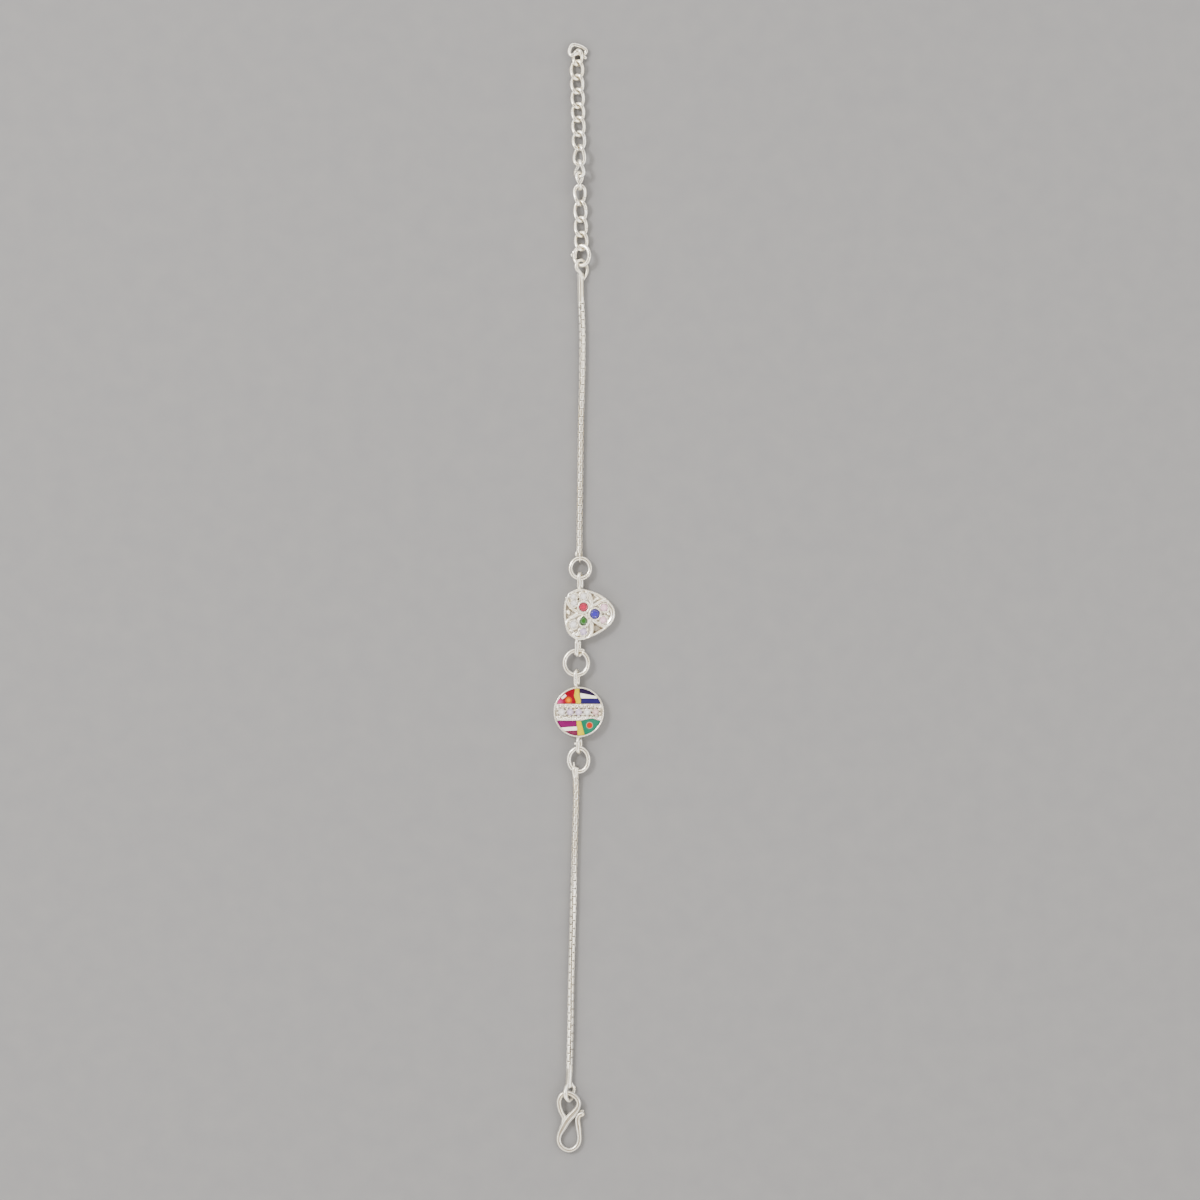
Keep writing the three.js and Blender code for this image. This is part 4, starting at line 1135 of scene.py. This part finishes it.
# The disc body's section, from the middle of its back round its edge and rim to the middle of its floor.
DISC_SECTION = [
    (0.05, 0.0), (4.3, 0.0), (4.48, 0.05), (4.56, 0.16), (DISC_RADIUS, 0.3), (DISC_RADIUS, 1.36),
    (4.55, 1.47), (4.49, 1.56), (4.41, 1.6), (4.33, 1.57), (4.275, 1.49), (4.26, 1.38), (4.26, DISC_FLOOR),
    (0.05, DISC_FLOOR),
]


def turned_body(shape, section, place, sides=160):
    """A closed solid turned from a section of (radius, height) rows round the upright axis."""
    rows = [ring_of(sides, radius, height) for radius, height in section]
    points = np.vstack(rows)
    shape.add(points + place, drum_faces(len(rows), sides), points + random.uniform(0, 60, 3), 0.05)


def band_edges(x):
    """The pave band's lower and upper edge at each x, in millimetres from the disc's middle."""
    share = x / DISC_RADIUS
    upper = np.full(len(x), PAVE_TOP * DISC_RADIUS)
    route = smooth_route(PAVE_BOTTOM, 200)
    return np.interp(share, *route.T) * DISC_RADIUS, upper


def pave_height(spots):
    """The height of the pave band's face at each spot, about the disc's middle."""
    height = 1.44 + 0.04 * ripple(spots, 0.42, 21)
    for edge in band_edges(spots[:, 0]):
        height = melted(height, rail(np.abs(np.abs(spots[:, 1] - edge) - 0.09), 0.09, 1.58), 0.05)
    beads = np.random.default_rng(5)
    for row in (1.22, -1.2, 0.94, -0.94):
        for x in np.arange(-4.1, 4.2, 0.3):
            spot = np.array([x, row]) + beads.uniform(-0.07, 0.07, 2)
            radius, top = beads.uniform(0.09, 0.14), beads.uniform(1.5, 1.68)
            height = melted(height, rail(np.linalg.norm(spots - spot, axis=1), radius, top), 0.05)
    for k, middle in enumerate(PAVE_MIDDLES):
        height = set_stone(height, spots, middle, PAVE_RADIUS, PAVE_SEAT, 6, 0.25 + 0.1 * k)
    return height


def pave_face(spots):
    """The height of the pave band's face, and its tone: painted shade with some tarnish between the
    grains, and a painted shadow round each stone.
    """
    sunk = hollows(pave_height, (-4.5, -1.8), (4.5, 1.8), spots, step=0.04, reach=3)
    # painted shade in the hollows between the grains
    tone = 0.9 * smoothstep(0.0, 0.08, sunk)
    for middle in PAVE_MIDDLES:
        tone += 0.6 * seat_shadow(spots, middle, PAVE_RADIUS)
    return pave_height(spots), np.clip(tone, 0, 1)


def pave_band(shape, place):
    """The raised band across the disc, in columns along it and rows from its lower edge to its upper one."""
    columns, rows = 200, 74
    across = np.linspace(-1, 1, columns)
    inner = DISC_RADIUS - DISC_RIM - 0.01
    spots = []
    for share in np.linspace(0, 1, rows):
        x = across * inner
        for _ in range(6):  # each round moves the column's ends nearer to the rim's inside
            bottom, top = band_edges(x)
            y = bottom + (top - bottom) * share
            x = across * np.sqrt(inner**2 - y**2)
        spots.append(np.stack([x, y], axis=1))
    flat = np.vstack(spots)
    height, tone = pave_face(flat)
    top = np.column_stack([flat, height])
    sunk = DISC_FLOOR - 0.1
    bottom = np.column_stack([flat, np.full(len(flat), sunk)])
    count = rows * columns
    border = (
        list(range(columns)) + [r * columns + columns - 1 for r in range(1, rows)]
        + [count - 1 - c for c in range(1, columns)] + [r * columns for r in range(rows - 2, 0, -1)]
    )
    faces = both_skins(grid_faces(rows, columns), count)
    faces += [(a, a + count, b + count, b) for a, b in zip(border, border[1:] + border[:1])]
    points = np.vstack([top, bottom])
    tone = np.concatenate([tone, np.full(count, 0.3)])
    shape.add(points + place, faces, points + random.uniform(0, 60, 3), tone)


def disc():
    shape = Shape()
    turned_body(shape, DISC_SECTION, DISC_MIDDLE)
    pave_band(shape, DISC_MIDDLE)
    charm_loop(shape, x=-1.39, free=-12.8, fixed=-16.32)
    charm_loop(shape, x=-0.96, free=-28.26, fixed=-24.92)
    bead(shape, (-1.66, -26.3, 1.55), 0.24)
    make("disc_casting", shape, SILVER_CAST, ["disc_body"], bend=60)


# ---------------------------------------------------------------- enamel

YELLOW = ((0.56, 0.45, 0.0002), (0.4, 0.3, 0.0002))
# Each cell's plain colour and its second one.
ENAMELS = {
    "enamel_red": ((0.22, 0.001, 0.012), (0.42, 0.04, 0.17)),
    "enamel_yellow_upper": YELLOW,
    "enamel_navy": ((0.018, 0.009, 0.042), (0.007, 0.002, 0.014)),
    "enamel_white_upper": ((0.95, 0.93, 0.84), (0.75, 0.75, 0.6)),
    "enamel_blue": ((0.02, 0.014, 0.1), (0.01, 0.004, 0.045)),
    "enamel_purple": ((0.16, 0.007, 0.09), (0.07, 0.002, 0.035)),
    "enamel_white_lower": ((0.95, 0.9, 0.84), (0.8, 0.7, 0.6)),
    "enamel_mauve": ((0.15, 0.022, 0.06), (0.08, 0.006, 0.022)),
    "enamel_yellow_lower": YELLOW,
    "enamel_teal": ((0.014, 0.145, 0.09), (0.002, 0.12, 0.055)),
    "enamel_dot_orange": ((0.4, 0.06, 0.0003), (0.6, 0.2, 0.0002)),
    "enamel_dot_coral": ((0.4, 0.022, 0.004), (0.3, 0.25, 0.17)),
    "enamel_dash": ((0.95, 0.86, 0.84), (0.7, 0.35, 0.38)),
}
ENAMEL_STEP = 0.15  # between the points inside a cell
ENAMEL_INSETS = (0.02, 0.06, 0.11, 0.16, 0.21)  # of the rings of points along its edge


def top_loops(node):
    """The closed outlines of a CAD node's flat top, in the layout's plane."""
    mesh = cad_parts[node].data
    level = max(vertex.co.z for vertex in mesh.vertices)
    places, edges = {}, {}
    for face in mesh.polygons:
        corners = [mesh.vertices[v].co for v in face.vertices]
        if min(corner.z for corner in corners) < level - 1e-5:
            continue
        keys = [(round(corner.x, 7), round(corner.y, 7)) for corner in corners]
        for key, corner in zip(keys, corners):
            places[key] = np.array([corner.x, corner.y]) / MM - LAYOUT_TO_FRAME[:2]
        for a, b in zip(keys, keys[1:] + keys[:1]):
            edges[(a, b)] = edges.get((a, b), 0) + 1
    following = {a: b for a, b in edges if (b, a) not in edges}
    loops = []
    while following:
        start, key = next(iter(following.items()))
        loop = [start]
        del following[start]
        while key != start:
            loop.append(key)
            key = following.pop(key)
        loops.append(np.array([places[key] for key in loop]))
    return loops


def softened(loop, spacing, grow):
    """A loop's outline with softer corners, moved outwards by grow. It runs with the inside on its left."""
    length = np.linalg.norm(loop - np.roll(loop, -1, axis=0), axis=1).sum()
    line = even(loop, max(int(length / spacing), 12), closed=True)
    for _ in range(2):
        line = (np.roll(line, 1, axis=0) + 2 * line + np.roll(line, -1, axis=0)) / 4
    ahead = unit(np.roll(line, -1, axis=0) - np.roll(line, 1, axis=0))
    return line + np.stack([ahead[:, 1], -ahead[:, 0]], axis=1) * grow


def enamel_cell(shape, loops, tone_of):
    """A pool of enamel with a rounded edge and a slightly full surface, over a flat bottom."""
    borders = np.vstack(loops)
    low, high = borders.min(axis=0), borders.max(axis=0)
    step = ENAMEL_STEP
    xs, ys = np.meshgrid(np.arange(low[0], high[0], step), np.arange(low[1], high[1], step * 0.87))
    xs[1::2] += step / 2
    inner = np.stack([xs.ravel(), ys.ravel()], axis=1)
    inner = inner[is_inside(inner, loops)]
    gap = np.min([line_distance(inner, loop, closed=True) for loop in loops], axis=0)
    inner = inner[gap > 0.27]
    bands = [softened(loop, 0.08, -inset) for loop in loops for inset in ENAMEL_INSETS]
    spots = np.vstack([borders, *bands, inner])
    edges, start = [], 0
    for loop in loops:
        edges += [(start + k, start + (k + 1) % len(loop)) for k in range(len(loop))]
        start += len(loop)
    made, _, triangles, *_ = delaunay_2d_cdt([Vector(spot) for spot in spots], edges, [], 0, 1e-5)
    made = np.array([tuple(spot) for spot in made])
    triangles = np.array([tuple(triangle) for triangle in triangles])
    triangles = triangles[is_inside(made[triangles].mean(axis=1), loops)]
    used, renumbered = np.unique(triangles, return_inverse=True)
    made, triangles = made[used], renumbered.reshape(-1, 3)
    gap = np.min([line_distance(made, loop, closed=True) for loop in loops], axis=0)
    gap = np.where(is_inside(made, loops), gap, 0)
    edge = np.clip(1 - gap / 0.06, 0, 1)
    height = ENAMEL_TOP - 0.03 * edge**2 + 0.02 * smoothstep(0, 0.6, gap) + 0.006 * ripple(made, 0.9, 8)
    top = np.column_stack([made, height])
    bottom = np.column_stack([made, np.full(len(made), DISC_FLOOR + 0.02)])
    count = len(made)
    a, b, c = made[triangles].transpose(1, 0, 2)
    area = (b[:, 0] - a[:, 0]) * (c[:, 1] - a[:, 1]) - (b[:, 1] - a[:, 1]) * (c[:, 0] - a[:, 0])
    triangles = np.where(area[:, None] > 0, triangles, triangles[:, ::-1])
    faces = [tuple(row) for row in triangles.tolist()]
    sides = {(row[i], row[(i + 1) % 3]) for row in faces for i in range(3)}
    rim = sorted((p, q) for p, q in sides if (q, p) not in sides)
    faces = both_skins(faces, count) + [(q, p, p + count, q + count) for p, q in rim]
    tone = tone_of(made, gap)
    points = np.vstack([top, bottom])
    shape.add(points, faces, points + random.uniform(0, 60, 3), np.concatenate([tone, tone]))


def edge_colour_and_shade(spots, gap):
    """The second colour gathers along the cell's edge. Where it is darker than the plain colour, it is
    painted shade at the edge.
    """
    return 0.8 * np.clip(1 - gap / 0.3, 0, 1) ** 2


def red_tone(spots, gap):
    """The red pales to pink in its lower left corner."""
    corner = np.linalg.norm(spots - (DISC_MIDDLE[:2] + [-3.7, 1.7]), axis=1)
    return 0.85 * smoothstep(1.3, 0.2, corner)


def teal_tone(spots, gap):
    """The teal is greener towards the yellow band."""
    from_band = spots[:, 0] - DISC_MIDDLE[0] + 0.25 * (spots[:, 1] - DISC_MIDDLE[1] + 2)
    return 0.8 * smoothstep(1.5, 0.3, from_band)


def centre_tone(spots, gap):
    """The dot turns to its second colour in its middle."""
    return smoothstep(0.15, 0.42, gap)


def halo_tone(spots, gap):
    """The dot is ringed by a pale halo."""
    return smoothstep(0.17, 0.05, gap)


def enamels():
    tones = {
        "enamel_red": red_tone, "enamel_teal": teal_tone,
        "enamel_dot_orange": centre_tone, "enamel_dot_coral": halo_tone,
    }
    for node, (plain, second) in ENAMELS.items():
        loops = [softened(loop, 0.08, ENAMEL_GROW) for loop in top_loops(node)]
        shape = Shape()
        enamel_cell(shape, loops, tones.get(node, edge_colour_and_shade))
        material = enamel(f"{node}_glaze", plain, second)
        make(f"{node}_pool", shape, material, [node], bend=50)


# ---------------------------------------------------------------- hook clasp

HOOK_WIRE = 0.9
HOOK_ROUTE = [
    (-4.14, -96.1, 0.5), (-3.97, -95.3, 0.55), (-3.76, -94.4, 0.66), (-3.8, -93.7, 0.85),
    (-4.25, -92.8, 0.98), (-4.58, -91.6, 1.08), (-4.56, -90.6, 1.1), (-4.07, -89.75, 1.1),
    (-3.17, -89.45, 1.1), (-2.17, -89.7, 1.1),
    (-1.36, -90.4, 1.08), (-1.03, -91.2, 1.05), (-1.21, -92.0, 1.0), (-1.9, -93.0, 0.92),
    (-2.72, -93.9, 0.83), (-3.44, -94.9, 0.74), (-4.02, -96.0, 0.64), (-4.47, -96.9, 0.55),
    (-4.66, -97.9, 0.48), (-4.38, -98.9, 0.45), (-3.66, -99.6, 0.45), (-2.78, -99.86, 0.45),
    (-1.9, -99.55, 0.45), (-1.18, -98.8, 0.46), (-0.92, -97.8, 0.48), (-1.0, -96.5, 0.5),
    (-1.18, -95.2, 0.52),
    (-1.25, -94.25, 0.54), (-1.0, -93.55, 0.55), (-0.48, -93.3, 0.55),
]
NUB_ROUTE = [(-0.75, -92.8, 0.5), (-0.48, -92.72, 0.55), (-0.25, -92.74, 0.5)]


def hook():
    shape = Shape()
    line = smooth_route(HOOK_ROUTE, 440)
    share = np.linspace(0, 1, len(line))
    diagonal = smoothstep(0.36, 0.46, share) * smoothstep(0.62, 0.54, share)
    stem = smoothstep(0.86, 0.9, share) * smoothstep(0.985, 0.96, share)
    tail = smoothstep(0.06, 0.0, share)
    tip = smoothstep(0.955, 1.0, share)
    radius = HOOK_WIRE / 2 * (1 - 0.45 * tail + 0.22 * tip)
    wide = 1 + 0.38 * diagonal + 0.14 * stem
    flutes = 0.015 + 0.05 * diagonal
    groove = 0.2 + 0.1 * ripple(line, 3.0, 2)
    wire(shape, line, radius, sides=36, wide=wide, high=1 - 0.06 * diagonal, flutes=flutes, tone=groove)
    wire(shape, smooth_route(NUB_ROUTE, 12), 0.2, tone=0.3)
    make("hook_wire", shape, SILVER_WIRE, ["hook"])


# ---------------------------------------------------------------- table, light and camera


TABLE_CORNERS = [(-4, -4), (4, -4), (4, 4), (-4, 4)]  # metres
TABLE_HEIGHT = -0.00002  # just under the bracelet, so that no face lies in another
TABLE_DARK = linear(0.475, 0.475, 0.485)
TABLE_LIGHT = linear(0.49, 0.49, 0.495)


def floor():
    """A wide matt table top with a faint mottle."""
    mesh = bpy.data.meshes.new("table_top")
    mesh.from_pydata([(x, y, TABLE_HEIGHT) for x, y in TABLE_CORNERS], [], [(0, 1, 2, 3)])
    top = bpy.data.objects.new("table_top", mesh)
    bpy.context.scene.collection.objects.link(top)
    material, nodes = new_material("table_top")
    place = nodes.new("ShaderNodeTexCoord").outputs["Object"]
    mottle = nodes.noise(place, 260.0, 5.0)
    colour = nodes.ramp(mottle, (0.3, TABLE_DARK), (0.7, TABLE_LIGHT))
    nodes.surface({
        "Base Color": colour,
        "Roughness": 0.85,
        "Specular IOR Level": 0.2,
        "Normal": nodes.bump(nodes.noise(place, 900.0, 3.0), 0.08, 0.1),
    })
    mesh.materials.append(material)


# How far up the room each colour is, from 0 at its middle height to 1 straight above.
ROOM = [
    (0.0, (0.3, 0.29, 0.27)), (0.15, (0.5, 0.48, 0.45)), (0.36, (1.0, 0.98, 0.94)),
    (0.7, (1.0, 0.98, 0.93)), (0.83, (0.26, 0.21, 0.15)), (0.975, (0.14, 0.11, 0.075)),
    (0.995, (0.1, 0.08, 0.055)),
]
ROOM_LIGHT = 4.4


def surroundings():
    """A soft room: dim at the floor, a bright band all round higher up, and a duller warm ceiling."""
    world = bpy.data.worlds.new("studio")
    bpy.context.scene.world = world
    world.use_nodes = True
    nodes = Nodes(world.node_tree)
    way = nodes.new("ShaderNodeTexCoord").outputs["Generated"]
    height = nodes.new("ShaderNodeSeparateXYZ", {"Vector": way}).outputs["Z"]
    bands = nodes.ramp(height, *ROOM)
    patches = nodes.ramp(nodes.noise(way, 2.2, 2.0), (0.4, 0.45), (0.6, 1.0))
    light = nodes.mix(1.0, bands, patches, blend="MULTIPLY")
    background = nodes.new("ShaderNodeBackground", {"Color": light, "Strength": ROOM_LIGHT})
    nodes.new("ShaderNodeOutputWorld", {"Surface": background.outputs["Background"]})


def area_light(name, place, size, power, colour):
    lamp = bpy.data.lights.new(name, "AREA")
    lamp.shape = "DISK"
    lamp.size = size
    lamp.energy = power
    lamp.color = colour
    light = bpy.data.objects.new(name, lamp)
    bpy.context.scene.collection.objects.link(light)
    light.location = place
    light.rotation_mode = "QUATERNION"
    light.rotation_quaternion = (-Vector(place)).to_track_quat("-Z", "Y")


def lights():
    area_light("key", place=(-0.6, 0.4, 0.75), size=0.24, power=10.0, colour=(1.0, 0.98, 0.94))
    area_light("fill", place=(0.6, -0.15, 0.75), size=0.2, power=1.5, colour=(0.97, 0.98, 1.0))


CAMERA_SPOT = (2.82, -0.36)  # millimetres from the bracelet's middle to below the camera
CAMERA_HEIGHT = 603


def camera():
    data = bpy.data.cameras.new("camera")
    data.lens = 100
    data.sensor_width = 36
    data.clip_start = 0.01
    data.clip_end = 20
    body = bpy.data.objects.new("camera", data)
    bpy.context.scene.collection.objects.link(body)
    body.location = Vector((*CAMERA_SPOT, CAMERA_HEIGHT)) * MM
    bpy.context.scene.camera = body


camera()
surroundings()
lights()
floor()
end_ring()
curb_links()
jump_rings()
upper_chain()
lower_chain()
trefoil()
disc()
stones()
enamels()
hook()
